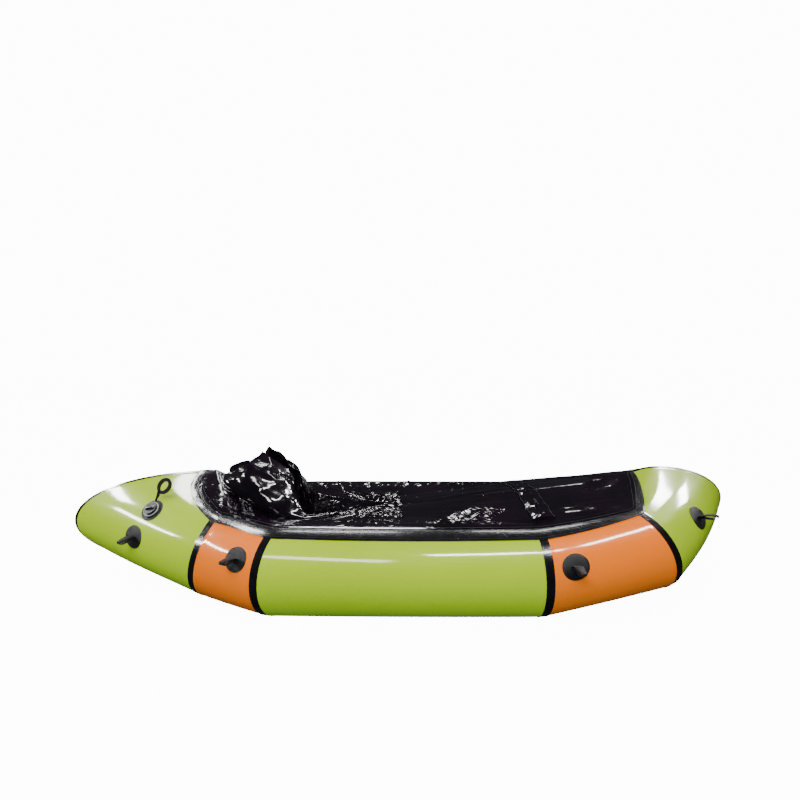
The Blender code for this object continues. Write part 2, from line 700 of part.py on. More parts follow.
def deck_loops(top):
    """Loops of the deck from the rim to the hatch, on its upper or lower face."""
    offset = DECK_TOP if top else DECK_FOOT
    loops = [[], [], []]
    edge = hatch_edge(hatch_turns())[0]
    for (row, side), target in zip(both_sides(ring_rows()), edge):
        band = np.linspace(*rim_angles(row), BAND_COLUMNS)
        degrees = (band[-2], band[-1], leaving_angle(row, side, band[-1] + LEAST_REST_ANGLE, target))
        for loop, point in zip(loops, section(row, degrees, offset, side)):
            loop.append(point)
    leaves = np.array(loops[-1])
    edge = edge + (0, 0, DECK_THICKNESS if top else 0)
    for share in DECK_SHARES:
        loops.append(leaves * (1 - share) + edge * share)
    return loops + [edge]


def deck_skin(finish):
    return slab("deck_skin", deck_loops(True), deck_loops(False), finish, columns_close=True,
                port_spans=len(ring_rows()) - 1)


def deck_height(deck, x, y):
    """Height of the deck's upper face above a point of the plan."""
    found = deck.ray_cast(Vector((x, y, 1)), Vector((0, 0, -1)))
    return found[1].z


def deck_sleeve(deck, finish, batten_finish):
    """A flat cloth tunnel across the fore deck, and the batten inside it."""
    half, middle = SLEEVE_WIDTH / 2, BATTEN_WIDTH / 2
    outer, inner, batten = [], [], []
    for across in np.linspace(-SLEEVE_SPAN / 2, SLEEVE_SPAN / 2, SLEEVE_ROWS):
        reach = np.array((-half, -half * 0.5, 0, half * 0.5, half))
        foot = np.array([deck_height(deck, SLEEVE_X + step, across) for step in reach])
        foot = np.interp(reach, (-half, 0, half), (foot[0], foot[1:4].max(), foot[4])) + SLEEVE_CLEARANCE
        top = foot + SLEEVE_HEIGHT * np.array((0.35, 0.9, 1, 0.9, 0.35))
        xs = np.concatenate([reach, reach[::-1]])
        zs = np.concatenate([foot, top[::-1]])
        outer.append([(SLEEVE_X + x, across, z) for x, z in zip(xs, zs)])
        shrink = (half - 2 * SLEEVE_WALL) / half
        inner.append([(SLEEVE_X + x * shrink, across, z + lift) for x, z, lift in
                      zip(xs, zs, (SLEEVE_WALL,) * 5 + (-SLEEVE_WALL,) * 5)])
        aft, fore = np.interp((-middle, middle), reach, foot) + SLEEVE_WALL + 3 * GAP
        batten.append([(SLEEVE_X + x, across, z) for x, z in ((-middle, aft), (middle, fore),
                       (middle, fore + BATTEN_THICKNESS), (-middle, aft + BATTEN_THICKNESS))])
    slab("deck_sleeve", outer, inner, finish, columns_close=True)
    lofted("sleeve_batten", batten[1:-1], batten_finish)


def spray_skirt(finish):
    """The spray skirt let down: a low lip along the front of the hatch and a folded heap behind it."""
    turns = hatch_turns()
    outward = hatch_edge(turns)[1]
    deck, edge = (np.array(loop) for loop in deck_loops(True)[-2:])
    foot = edge + unit(deck - edge) * SKIRT_OUTSET + (0, 0, 4 * GAP)
    centre = hatch_centre()[0]
    heap = np.clip((SKIRT_HEAP_FRONT - foot[:, 0]) / SKIRT_HEAP_BLEND, 0, 1)
    heap = (heap * heap * (3 - 2 * heap))[:, None]
    folds = np.cos(SKIRT_FOLDS * turns)[:, None]
    lean = outward * np.clip(-outward[:, :1], 0, 1) * SKIRT_SPREAD
    rise = np.array((0, 0, 1))
    hem = np.array((SKIRT_HEM_X, centre[1] / 2, SKIRT_HEM_Z)) + (foot - centre) * (1, 1, 0) * SKIRT_HEM_SHARE
    hem = hem + rise * SKIRT_PEAK * (0.5 - 0.5 * folds)
    lip = foot + rise * SKIRT_LIP
    controls = (foot,
                foot + rise * SKIRT_LIP / 3 * (1 - heap) + heap * (lean * 0.2 + rise * SKIRT_RISE * 0.5),
                foot + rise * SKIRT_LIP * (1 - heap) + heap * (lean * 1.9 + rise * SKIRT_RISE),
                lip * (1 - heap) + hem * heap)
    rows = []
    for share in np.linspace(0, 1, SKIRT_ROWS):
        near = 1 - share
        row = (controls[0] * near ** 3 + controls[1] * 3 * near ** 2 * share
               + controls[2] * 3 * near * share ** 2 + controls[3] * share ** 3)
        rows.append(row + outward * heap * folds * SKIRT_FOLD_DEPTH * math.sin(math.pi * share) ** 1.3)
    rows = np.array(rows)
    normals = unit(np.cross(np.gradient(rows, axis=0), np.roll(rows, -1, axis=1) - np.roll(rows, 1, axis=1)))
    inward = -np.sign((normals[0] * outward).sum(1).mean())
    inner = rows + normals * inward * SKIRT_WALL
    inner[0] = rows[0] - unit(deck - edge) * SKIRT_WALL
    return slab("spray_skirt", rows, inner, finish, columns_close=True, port_spans=len(ring_rows()) - 1)


def well_half_width(x):
    """Half the clear width between the tubes at their widest."""
    rows = [section(row, 180)[0] for row in ring_rows() if row[0] in (STERN, AFT_QUARTER, SIDE)]
    return float(np.interp(x, [point[0] for point in rows], [point[1] for point in rows]))


def floor_height(x):
    """Height of the floor sheet's upper face between the tubes at x."""
    rows = [section(row, FLOOR_LEAVES_ANGLE, FLOOR_FOOT)[0] for row in ring_rows() if STERN < row[0] < BOW]
    return float(np.interp(x, [point[0] for point in rows], [point[2] for point in rows]))


def seat_loop(x, degrees, offset=0.0):
    """Points of the seat cushion's section at x."""
    share = (SEAT_FRONT_X - x) / SEAT_LENGTH
    end = min(share, 1 - share) / SEAT_ROUNDING
    full = math.sqrt(1 - max(1 - end, 0) ** 2)
    half_width = min(SEAT_WIDTH / 2, well_half_width(x) - SEAT_SIDE_CLEARANCE) - SEAT_EDGE * (1 - full) + offset
    half_height = SEAT_HEIGHT / 2 * (0.35 + 0.65 * full)
    channel = SEAT_CHANNEL_DEPTH * math.cos(math.pi * SEAT_CHANNELS * share) ** 2 * full
    angles = np.radians(degrees)
    cos, sin = np.cos(angles), np.sin(angles)
    y = half_width * np.sign(cos) * np.abs(cos) ** SEAT_SQUARENESS
    rise = np.where(sin > 0, half_height - channel, half_height) + offset
    z = floor_height(x) + 2 * GAP + half_height + rise * np.sign(sin) * np.abs(sin) ** SEAT_SQUARENESS
    return np.stack([np.full_like(y, x), y, z], 1)


def seat_cushion(finish):
    shares = np.concatenate([[0, 0.03], np.linspace(0.1, 0.9, 9), [0.97, 1]])
    loops = [seat_loop(SEAT_FRONT_X - SEAT_LENGTH * share, np.arange(0, 360, 18)) for share in shares]
    return lofted("seat_cushion", loops, finish)


def seat_strap(finish):
    degrees = np.linspace(*SEAT_STRAP_ANGLES, 5)
    rows = np.linspace(SEAT_STRAP_X, SEAT_STRAP_X - STRAP_LENGTH, 4)
    heights = (STRAP_LIFT + STRAP_THICKNESS, STRAP_LIFT)
    layers = [[seat_loop(x, degrees, offset) for x in rows] for offset in heights]
    return slab("seat_strap", *layers, finish)


def seat_backrest(finish):
    """Backrest, pivoting on the lower edge of its front face."""
    loops = []
    for share in (0, 0.06, 0.2, 0.4, 0.6, 0.8, 0.94, 1):
        full = math.sqrt(1 - max(1 - min(share, 1 - share) / 0.2, 0) ** 2)
        width = BACKREST_WIDTH / 2 - SEAT_EDGE * (1 - full)
        depth = BACKREST_THICKNESS / 2 * (0.3 + 0.7 * full)
        angles = np.linspace(0, 2 * math.pi, 20, endpoint=False)
        cos, sin = np.cos(angles), np.sin(angles)
        x = -BACKREST_THICKNESS / 2 + depth * np.sign(cos) * np.abs(cos) ** SEAT_SQUARENESS
        y = width * np.sign(sin) * np.abs(sin) ** SEAT_SQUARENESS
        loops.append(np.stack([x, y, np.full_like(x, BACKREST_HEIGHT * share)], 1))
    x = SEAT_FRONT_X - BACKREST_SET_BACK
    foot = floor_height(x) + SEAT_HEIGHT + BACKREST_CLEARANCE
    return lofted("seat_backrest", loops, finish, Matrix.Translation((x, 0, foot)))


def seat_valve(stem_finish, cap_finish):
    top = seat_loop(SEAT_VALVE_X, np.array((90 - SEAT_VALVE_ANGLE, 90 - SEAT_VALVE_ANGLE + 1)))
    place = Matrix.Translation((SEAT_VALVE_X, top[0][1], top[0][2] + SEAT_VALVE_LIFT))
    foot, neck = SEAT_VALVE_RADIUS * 1.25, SEAT_VALVE_RADIUS * 0.6
    flange = SEAT_VALVE_HEIGHT * 0.2
    turned("seat_valve_stem", ((foot, 0), (foot, flange), (neck, flange), (neck, SEAT_VALVE_HEIGHT),
                               (neck / 2, SEAT_VALVE_HEIGHT), (neck / 2, 0)), stem_finish, place,
           facets=SMALL_TURNED_FACETS)
    bore = neck + GAP * 2
    low, high = flange + GAP * 2, SEAT_VALVE_HEIGHT + GAP * 2 + SEAT_CAP_WALL
    turned("seat_valve_cap", ((bore, low), (SEAT_VALVE_RADIUS, low),
                              (SEAT_VALVE_RADIUS, high - SEAT_CAP_WALL / 2),
                              (SEAT_VALVE_RADIUS - SEAT_CAP_WALL / 2, high), (0, high),
                              (0, high - SEAT_CAP_WALL), (bore, high - SEAT_CAP_WALL)), cap_finish, place,
           facets=SMALL_TURNED_FACETS)


def disc(name, place, side, hole, radius, foot, thickness, finish):
    """A round patch laid on the tube, with a hole in its middle or none."""
    turns = np.radians(np.arange(0, 360, 360 / PATCH_FACETS))
    layers = []
    for offset in (foot + thickness, foot):
        layers.append([laid(place, reach * np.cos(turns), reach * np.sin(turns), offset, side)
                       for reach in np.linspace(hole, radius, PATCH_RINGS)])
    return slab(name, *layers, finish, columns_close=True)


def webbing_loop(name, place, side, finish):
    """A folded webbing loop standing on its patch. It swings on the line where it is sewn down."""
    upright = frame_at(place, side, PATCH_FOOT + PATCH_THICKNESS + GAP + LOOP_WEBBING)
    normal = np.array(upright.col[2][:3])
    axis = unit(np.cross((0, 0, 1), normal))
    out = np.array(Matrix.Rotation(math.radians(LOOP_DROOP), 3, Vector(axis)) @ Vector(normal))
    shares = np.array((0.22, 0.40, 0.58, 0.76, 0.90, 0.975))
    opening = LOOP_EYE / 2 * np.sin(math.pi * shares ** 1.6) ** 0.6
    start = LOOP_LENGTH * shares[0]
    stretch = (LOOP_LENGTH - LOOP_WEBBING - LOOP_ROOT) / (LOOP_LENGTH - start)
    reach = LOOP_ROOT + (LOOP_LENGTH * shares - start) * stretch
    outer = [(-LOOP_WEBBING, 0), (0, LOOP_WEBBING), *zip(LOOP_LENGTH * shares, opening + LOOP_WEBBING)]
    inner = [(LOOP_ROOT * 0.6, 0), (LOOP_ROOT * 0.8, opening[0] / 2), *zip(reach, opening)]
    outer += [(LOOP_LENGTH, 0)] + [(x, -z) for x, z in outer[:0:-1]]
    inner += [(LOOP_LENGTH - LOOP_WEBBING, 0)] + [(x, -z) for x, z in inner[:0:-1]]
    edges = (-LOOP_WIDTH / 2, LOOP_WIDTH / 2)
    layers = [[[(x, y, z) for x, z in outline] for y in edges] for outline in (outer, inner)]
    place = frame(upright.col[3][:3], out, np.cross(out, axis))
    return slab(name, *layers, finish, columns_close=True, place=place)


def cut(made, cutter):
    cutter.hide_render = True
    cutter.display_type = "WIRE"
    change = made.modifiers.new(cutter.name, "BOOLEAN")
    change.solver = "EXACT"
    change.object = cutter
    return change


def main_valve(tube):
    """The inflation valve let into the starboard stern panel, and its plug on a leash."""
    place = frame_at(VALVE_PLACE, -1)
    seat, deep = -VALVE_RING_SINK, -VALVE_BARREL_DEPTH
    barrel, ring, top = VALVE_BARREL_RADIUS, VALVE_RING_RADIUS, VALVE_RING_HEIGHT
    opening = turned("valve_opening", ((0, deep), (ring + GAP, deep), (ring + GAP, CUT_THROUGH),
                                       (0, CUT_THROUGH)), (BLACK, 0.5), place, closed=False)
    cut(tube, opening)
    hole = (ring + 2 * GAP) / math.cos(math.pi / PATCH_FACETS)
    disc("valve_flange", VALVE_PLACE, -1, hole, VALVE_FLANGE_RADIUS, PATCH_FOOT, PATCH_THICKNESS, (BLACK, 0.35))
    wall = VALVE_FLOOR_WALL
    turned("valve_body", ((VALVE_BORE_RADIUS, top), (ring - wall, top), (ring, top - wall), (ring, seat),
                          (barrel, seat), (barrel, deep), (VALVE_SEAT_RADIUS, deep),
                          (VALVE_SEAT_RADIUS, deep + wall), (VALVE_BORE_RADIUS, deep + wall)),
           (LIGHT_GREY, 0.4), place)
    low = top + GAP
    high = low + GASKET_THICKNESS
    turned("valve_gasket", ((PLUG_STEM_RADIUS + GAP, low), (GASKET_RADIUS, low), (GASKET_RADIUS, high),
                            (PLUG_STEM_RADIUS + GAP, high)), (BLACK, 0.6), place)
    low, high = high + GAP, high + GAP + PLUG_HEAD_HEIGHT
    plug = turned("valve_plug", ((0, top - PLUG_STEM_DEPTH), (PLUG_STEM_RADIUS, top - PLUG_STEM_DEPTH),
                                 (PLUG_STEM_RADIUS, low), (PLUG_HEAD_RADIUS, low),
                                 (PLUG_HEAD_RADIUS, high - PLUG_CHAMFER),
                                 (PLUG_HEAD_RADIUS - PLUG_CHAMFER, high), (0, high)),
                  (DARK_GREY, 0.35), place, closed=False)
    long, wide = PLUG_HEAD_RADIUS * 0.8, PLUG_RIDGE_WIDTH / 2
    foot, crown = (low + high) / 2, high + PLUG_RIDGE_HEIGHT
    crest = [[(x, y, crown) for y in (-wide * 0.7, wide * 0.7)] for x in (-long * 0.9, long * 0.9)]
    base = [[(x, y, foot) for y in (-wide, wide)] for x in (-long, long)]
    ridge = slab("plug_ridge", crest, base, (DARK_GREY, 0.35), place=place)
    cut(plug, ridge).operation = "UNION"
    valve_leash()


def valve_leash():
    """A pull ring standing on a short strap, which bends where it is glued to the flange."""
    panel = VALVE_PLACE[0]
    share, angle = walk(VALVE_PLACE, -LEASH_ROOT_AFT, LEASH_ROOT_UP)
    root = (panel, share[0], math.degrees(angle[0]))
    upright = frame_at(root, -1, PATCH_FOOT + PATCH_THICKNESS + LEASH_LIFT)
    axis = unit(np.cross((0, 0, 1), np.array(upright.col[2][:3])))
    ring_axis = np.cross(axis, (0, 0, 1))
    lean = Matrix.Rotation(math.radians(-LEASH_LEAN), 3, Vector(ring_axis))
    up, across = np.array(lean @ Vector((0, 0, 1))), np.array(lean @ Vector(axis))
    turns = np.radians(np.linspace(180 - LEASH_MOUTH, -180 + LEASH_MOUTH, LEASH_POINTS))
    middle, narrow = LEASH_STRAP_LENGTH + LEASH_RING_LENGTH / 2, LEASH_STRAP_WIDTH / 2
    cos, sin = math.cos(math.radians(LEASH_BEND)), math.sin(math.radians(LEASH_BEND))

    def bent(x, y):
        x -= LEASH_STRAP_LENGTH
        return LEASH_STRAP_LENGTH + x * cos - y * sin, x * sin + y * cos

    outer = [bent(middle + LEASH_RING_LENGTH / 2 * math.cos(turn), LEASH_RING_WIDTH / 2 * math.sin(turn))
             for turn in turns]
    inner = [bent(middle + (LEASH_RING_LENGTH / 2 - LEASH_BAND) * math.cos(turn),
                  (LEASH_RING_WIDTH / 2 - LEASH_BAND) * math.sin(turn)) for turn in turns]
    outer = [(0, narrow)] + outer + [(0, -narrow)]
    back = middle - LEASH_RING_LENGTH / 2 + LEASH_BAND
    inner = [bent(back, narrow / 2)] + inner + [bent(back, -narrow / 2)]
    layers = [[[(x, y, z) for x, y in outline] for z in (-LEASH_THICKNESS / 2, LEASH_THICKNESS / 2)]
              for outline in (outer, inner)]
    slab("valve_leash", *layers, (BLACK, 0.4), columns_close=True,
         place=frame(upright.col[3][:3], up, np.cross(up, across)))


def zip_place(share):
    aft, fore = np.array(ZIP_PLACE_AFT[1:]), np.array(ZIP_PLACE_FORE[1:])
    return (STERN, *(aft + (fore - aft) * (share, max(share, 0) ** ZIP_CURVE)))


def zip_frame(share):
    """Point, heading and normal of the zip's line on the tube's skin."""
    place, following = zip_place(share), zip_place(share + SMALL_STEP)
    point, normal = skin(STERN, place[1], math.radians(place[2]))
    ahead = skin(STERN, following[1], math.radians(following[2]))[0] - point
    return point[0], unit(ahead[0] - normal[0] * np.dot(ahead[0], normal[0])), normal[0]


def zip_points(share, across, offset):
    """Points laid across the zip's line."""
    point, ahead, normal = zip_frame(share)
    place = zip_place(share)
    along = surface(STERN, place[1] + SMALL_STEP, math.radians(place[2]))[0] - point
    along = unit(along - normal * np.dot(along, normal))
    aside = np.cross(normal, ahead)
    across = np.array(across)
    return laid(place, across * np.dot(aside, along), across * np.dot(aside, np.cross(along, normal)),
                np.array(offset)[:, None], 1)


def cargo_zip():
    """The zip on the port stern: its strip, chain, slider, pull tab and docking end."""
    fine = np.array([zip_frame(share)[0] for share in np.linspace(0, 1, 60)])
    length = np.linalg.norm(np.diff(fine, axis=0), axis=1).sum()
    top = ZIP_FOOT + ZIP_STRIP_THICKNESS
    across = np.linspace(-ZIP_STRIP_WIDTH / 2, ZIP_STRIP_WIDTH / 2, ZIP_COLUMNS)
    layers = []
    for offset in (top, ZIP_FOOT):
        rows = []
        for share in np.linspace(0, 1, ZIP_ROWS):
            narrowed = across * (0.72 if share in (0, 1) else 1)
            rows.append(zip_points(share, narrowed, np.full(ZIP_COLUMNS, offset)))
        layers.append(rows)
    slab("zip_strip", *layers, (BLACK, 0.2))
    chain_end = 1 - (DOCK_LENGTH * 2.2) / length
    chain_foot = top + GAP
    half = ZIP_CHAIN_WIDTH / 2
    shares = np.linspace(ZIP_START_SHARE, chain_end, 2 * ZIP_TEETH)
    heights = [ZIP_CHAIN_HEIGHT * (1 if index % 2 else 0.6) for index in range(len(shares))]
    slab("zip_chain", [zip_points(share, (-half, half), np.full(2, chain_foot + height))
                       for share, height in zip(shares, heights)],
         [zip_points(share, (-half, half), np.full(2, chain_foot)) for share in shares], (BLACK, 0.5))
    dock = np.linspace(chain_end + 2 * GAP / length, chain_end + DOCK_LENGTH / length, 3)
    slab("zip_dock", [zip_points(share, (-half, 0, half), chain_foot + ZIP_CHAIN_HEIGHT * np.array((1, 1.5, 1)))
                      for share in dock],
         [zip_points(share, (-half, 0, half), np.full(3, chain_foot)) for share in dock], (LIGHT_GREY, 0.5))
    zip_slider(chain_end, length, top)


def zip_slider(chain_end, length, top):
    """The slider, which turns about the middle of the chain's arc, and its pull tab."""
    rest = chain_end - (SLIDER_LENGTH / 2 + SLIDER_CLEARANCE) / length
    roof = top + GAP + ZIP_CHAIN_HEIGHT + SLIDER_CLEARANCE
    foot = top + SLIDER_FOOT
    channel = ZIP_CHAIN_WIDTH / 2 + SLIDER_CLEARANCE
    across = np.array((-SLIDER_WIDTH / 2, -channel - GAP, -channel, channel, channel + GAP, SLIDER_WIDTH / 2))
    lower = np.array((foot, foot, roof, roof, foot, foot))
    upper = top + SLIDER_HEIGHT * np.array((0.6, 0.95, 1, 1, 0.95, 0.6))
    shares = rest + np.linspace(-0.5, 0.5, 4) * SLIDER_LENGTH / length
    waist = np.array((0.8, 1, 1, 1, 1, 0.8))
    layers = []
    for heights in (upper, lower):
        layers.append([zip_points(share, across * (waist if index in (0, 3) else 1), heights)
                       for index, share in enumerate(shares)])
    slider = slab("zip_slider", *layers, (BLACK, 0.35))
    travel = SLIDER_TRAVEL / length
    a, b, c = (zip_frame(share)[0] for share in (rest - travel, rest - travel / 2, rest))
    axis = unit(np.cross(b - a, c - b))
    first, second = b - a, c - a
    normal = np.cross(first, second)
    centre = a + (np.cross(normal, first) * np.dot(second, second)
                  + np.cross(second, normal) * np.dot(first, first)) / (2 * np.dot(normal, normal))
    rehome(slider, frame(centre, unit(c - centre), axis))
    point, ahead, normal = zip_frame(rest)
    hinge = point + normal * (top + SLIDER_HEIGHT + GAP + PULL_TAB_THICKNESS / 2)
    reach = np.array((0, 0.3, 0.62, 0.7, 1)) * PULL_TAB_LENGTH
    widths = np.array((0.5, 0.5, 0.5, 1, 1)) * PULL_TAB_WIDTH / 2
    layers = [[[(x, -width, z), (x, width, z)] for x, width in zip(reach, widths)]
              for z in (PULL_TAB_THICKNESS / 2, -PULL_TAB_THICKNESS / 2)]
    slab("zip_pull", *layers, (BLACK, 0.4), place=frame(hinge, -ahead, normal))


def deck_pull_tab(finish):
    forward = np.linspace(0, -PULL_LENGTH, 4)
    up = np.linspace(-PULL_WIDTH / 2, PULL_WIDTH / 2, 4)
    layers = [[laid(PULL_PLACE, np.full(4, step), up, offset, 1) for step in forward]
              for offset in (DECK_TOP + GAP + PULL_THICKNESS, DECK_TOP + GAP)]
    made = slab("deck_pull_tab", *layers, finish)
    root = np.array([layer[0] for layer in layers]).mean(0)
    point, normal = skin(PULL_PLACE[0], PULL_PLACE[1], math.radians(PULL_PLACE[2]))
    axis = unit(root[-1] - root[0])
    ahead = unit(np.cross(axis, normal[0]))
    return rehome(made, frame(root.mean(0), ahead, np.cross(ahead, axis)))


def build():
    clear_scene()
    lime, orange, tape = (LIME, 0.35), (ORANGE, 0.35), (BLACK, 0.12)
    tubes = {}
    for side, side_name in ((1, "port"), (-1, "starboard")):
        for panel, panel_name in enumerate(PANEL_NAMES):
            finish = orange if panel in (AFT_QUARTER, FORE_QUARTER) else lime
            tubes[panel, side] = ring_panel(f"tube_{panel_name}_{side_name}", panel, side, finish)
        for seam, seam_name in enumerate(SEAM_NAMES, 1):
            ring_tape(f"tape_{seam_name}_{side_name}", seam, side, tape)
        for patch_name, place in PATCH_PLACES.items():
            if patch_name == "stern" and side > 0:
                place = STERN_PORT_PATCH_PLACE
            disc(f"patch_{patch_name}_{side_name}", place, side, 0, PATCH_RADIUS, PATCH_FOOT, PATCH_THICKNESS,
                 (DARK_GREY, 0.6))
            webbing_loop(f"loop_{patch_name}_{side_name}", place, side, (BLACK, 0.7))
    centre_tape("tape_stern_centre", STERN, STERN_TAPE_TOP_ANGLE, tape)
    centre_tape("tape_bow_centre", BOW + 1, BOW_TAPE_TOP_ANGLE, tape)
    rim_band((BLACK, 0.2))
    floor_sheet((DARK_GREY, 0.6))
    deck = deck_skin((BLACK, 0.15))
    bpy.context.view_layer.update()
    deck_sleeve(deck, (BLACK, 0.2), (DARK_GREY, 0.5))
    spray_skirt((BLACK, 0.2))
    deck_pull_tab((BLACK, 0.6))
    seat_cushion((DARK_GREY, 0.7))
    seat_strap((BLACK, 0.7))
    seat_backrest((DARK_GREY, 0.7))
    seat_valve((BLACK, 0.4), (LIGHT_GREY, 0.4))
    main_valve(tubes[STERN, -1])
    cargo_zip()


build()
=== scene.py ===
"""Looks of the decked packraft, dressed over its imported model.

Metres. +X is the bow, +Y is port, +Z is up. Every skin of the boat is drawn over the inflated ring by the
same surface as in the model: cut panels between seam sections, and the tapes, rim band, deck and patches
laid on them one layer above the other.
"""
import math

import bpy
import numpy as np
from mathutils import Matrix, Vector


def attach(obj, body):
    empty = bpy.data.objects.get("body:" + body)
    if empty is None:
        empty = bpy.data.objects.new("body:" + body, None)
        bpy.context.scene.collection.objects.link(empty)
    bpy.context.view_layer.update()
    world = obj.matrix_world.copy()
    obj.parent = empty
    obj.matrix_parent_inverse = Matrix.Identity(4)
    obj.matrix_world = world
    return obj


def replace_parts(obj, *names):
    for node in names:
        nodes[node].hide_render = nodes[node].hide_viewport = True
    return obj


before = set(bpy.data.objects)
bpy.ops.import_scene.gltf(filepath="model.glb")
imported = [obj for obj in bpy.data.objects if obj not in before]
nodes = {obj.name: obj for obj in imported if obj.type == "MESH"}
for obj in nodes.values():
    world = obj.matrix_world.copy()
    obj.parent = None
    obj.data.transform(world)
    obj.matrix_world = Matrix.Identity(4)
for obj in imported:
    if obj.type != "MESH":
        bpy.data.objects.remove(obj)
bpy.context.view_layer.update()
bpy.ops.object.select_all(action="DESELECT")

# Inflated ring
BOAT_LENGTH = 2.45
TUBE_RADIUS = 0.157
TUBE_OFFSET = 0.330
GAP = 0.0003
TAPE_TOP = 0.0009
BAND_FOOT = 0.0018
BAND_TOP = 0.0026
DECK_FOOT = 0.0035
DECK_TOP = 0.0043
PATCH_FOOT = 0.0006
PATCH_THICKNESS = 0.0010
PATCH_RADIUS = 0.0425
PATCH_EYELET = 0.0005
TAPE_WIDTH = 0.027
MOST_TAPE_SHARE = 0.3
LEAST_MITRE = 0.15
SMALL_STEP = 0.0005
STITCH_LIFT = 0.0004
WELD = 1e-6
WALK_STEPS = 6
STERN, AFT_QUARTER, SIDE, FORE_QUARTER, BOW = range(5)
PANEL_NAMES = ("stern", "aft_quarter", "side", "fore_quarter", "bow")
SEAM_NAMES = ("stern", "aft", "fore", "bow")
SWELLS = (0.014, 0.006, 0.010, 0.006, 0.022)
STERN_OUTLINE = ((0, 0.224), (0.565, 0.426), (0.645, 0.205), (0.545, 0.045))
BOW_OUTLINE = ((0, 0.300), (0.257, 0.428), (0.425, 0.272), (0.345, 0.112))
# centre x and y, radius, inner radius, lowest point, turn and lean of the four ring seams
RING_SEAMS = (
    (-0.612, 0.170, 0.169, 0.146, 0.006, -15.0, 18.0),
    (-0.363, TUBE_OFFSET, TUBE_RADIUS, TUBE_RADIUS, -0.003, -20.0, 6.5),
    (0.477, TUBE_OFFSET + 0.005, 0.152, 0.152, -0.003, 4.5, -4.0),
    (0.843, 0.267, 0.150, 0.150, 0.064, 22.5, -24.5),
)

# Rim, deck and hatch
BAND_WIDTH = 0.075
BAND_WIDTH_SHARES = (1.0, 1.0, 1.0, 1.0, 0.80, 0.55)
RIM_ANGLES = (84.0, 57.0, 58.0, 58.0, 74.0, 116.0)
RIM_SIDE_DIP = 4.0
RIM_FORE_DIP = 4.0
CREST_ANGLE = 98.0
LAP_SHARES = (0.36, 0.52, 0.75, 0.75, 0.58, 0.28)     # of the band's width, where the deck's edge lies
LEAST_REST_ANGLE = 6.0
LAST_LEAVING_ANGLE = 160.0
HATCH_APEX_X = 0.014
HATCH_LENGTH = 0.385
HATCH_RADIUS = 0.185
HATCH_SKEW = math.radians(5.0)
HATCH_APEX_Z = 0.285
HATCH_BACK_RISE = 0.086
FINE_ROWS = (62, 30, 84, 36, 46)     # steps along each panel for the deck and the skirt
PANEL_ROWS = (40, 20, 48, 24, 32)    # steps along each panel for the tubes


def unit(vectors):
    return vectors / np.linalg.norm(vectors, axis=-1, keepdims=True)


def run_lengths(points):
    """Length along a line of points, from its start to each of them."""
    return np.concatenate([[0], np.cumsum(np.linalg.norm(np.diff(points, axis=0), axis=1))])


def smooth(values):
    """Eases from 0 to 1."""
    values = np.clip(values, 0, 1)
    return values * values * (3 - 2 * values)


def rounded_end(near):
    """Fills out from 0 at an end to 1 where its rounding is over."""
    return math.sqrt(1 - max(1 - near, 0) ** 2)


def end_outline(facing, outline, angles):
    end = facing * BOAT_LENGTH / 2
    nose, crest, wall, keel = ((end - facing * back, height) for back, height in outline)
    cos, sin = np.cos(angles), np.sin(angles)
    middle_x = np.where(sin >= 0, crest[0], keel[0])
    side_x = np.where(cos >= 0, nose[0], wall[0])
    side_z = np.where(cos >= 0, nose[1], wall[1])
    length = np.abs(side_x - middle_x)
    height = np.abs(np.where(sin >= 0, crest[1], keel[1]) - side_z)
    level = np.zeros_like(cos)
    points = np.stack([middle_x + facing * length * cos, level, side_z + height * sin], -1)
    return points, unit(np.stack([facing * height * cos, level, length * sin], -1))


def ring_outline(seam, angles):
    x, y, radius, inner_radius, lift, turn, lean = seam
    turn, lean = math.radians(turn), math.radians(lean)
    centre = np.array((x, y, lift + radius * math.cos(lean)))
    out = np.array((math.sin(turn), math.cos(turn), 0))
    up = np.array((math.sin(lean) * math.cos(turn), -math.sin(lean) * math.sin(turn), math.cos(lean)))
    cos, sin = np.cos(angles)[:, None], np.sin(angles)[:, None]
    across = np.where(cos >= 0, radius, inner_radius)
    return centre + across * cos * out + radius * sin * up, unit(radius * cos * out + across * sin * up)


def seam_outline(seam, angles):
    if seam == 0:
        return end_outline(-1, STERN_OUTLINE, angles)
    if seam == 5:
        return end_outline(1, BOW_OUTLINE, angles)
    return ring_outline(RING_SEAMS[seam - 1], angles)


def surface(panel, share, angles):
    angles = np.atleast_1d(angles)
    start, start_normals = seam_outline(panel, angles)
    end, end_normals = seam_outline(panel + 1, angles)
    share = (np.zeros_like(angles) + share)[:, None]
    normals = unit(start_normals * (1 - share) + end_normals * share)
    bulge = SWELLS[panel] * 4 * share * (1 - share) * np.maximum(np.cos(angles), 0)[:, None] ** 2
    return start * (1 - share) + end * share + normals * bulge


def skin(panel, share, angles):
    along = surface(panel, share + SMALL_STEP, angles) - surface(panel, share - SMALL_STEP, angles)
    round_tube = surface(panel, share, angles + SMALL_STEP) - surface(panel, share, angles - SMALL_STEP)
    return surface(panel, share, angles), unit(np.cross(round_tube, along))


def half_tape_shares(panel, angles):
    start, end = seam_outline(panel, angles)[0], seam_outline(panel + 1, angles)[0]
    return np.minimum(TAPE_WIDTH / 2 / np.linalg.norm(end - start, axis=1), MOST_TAPE_SHARE)


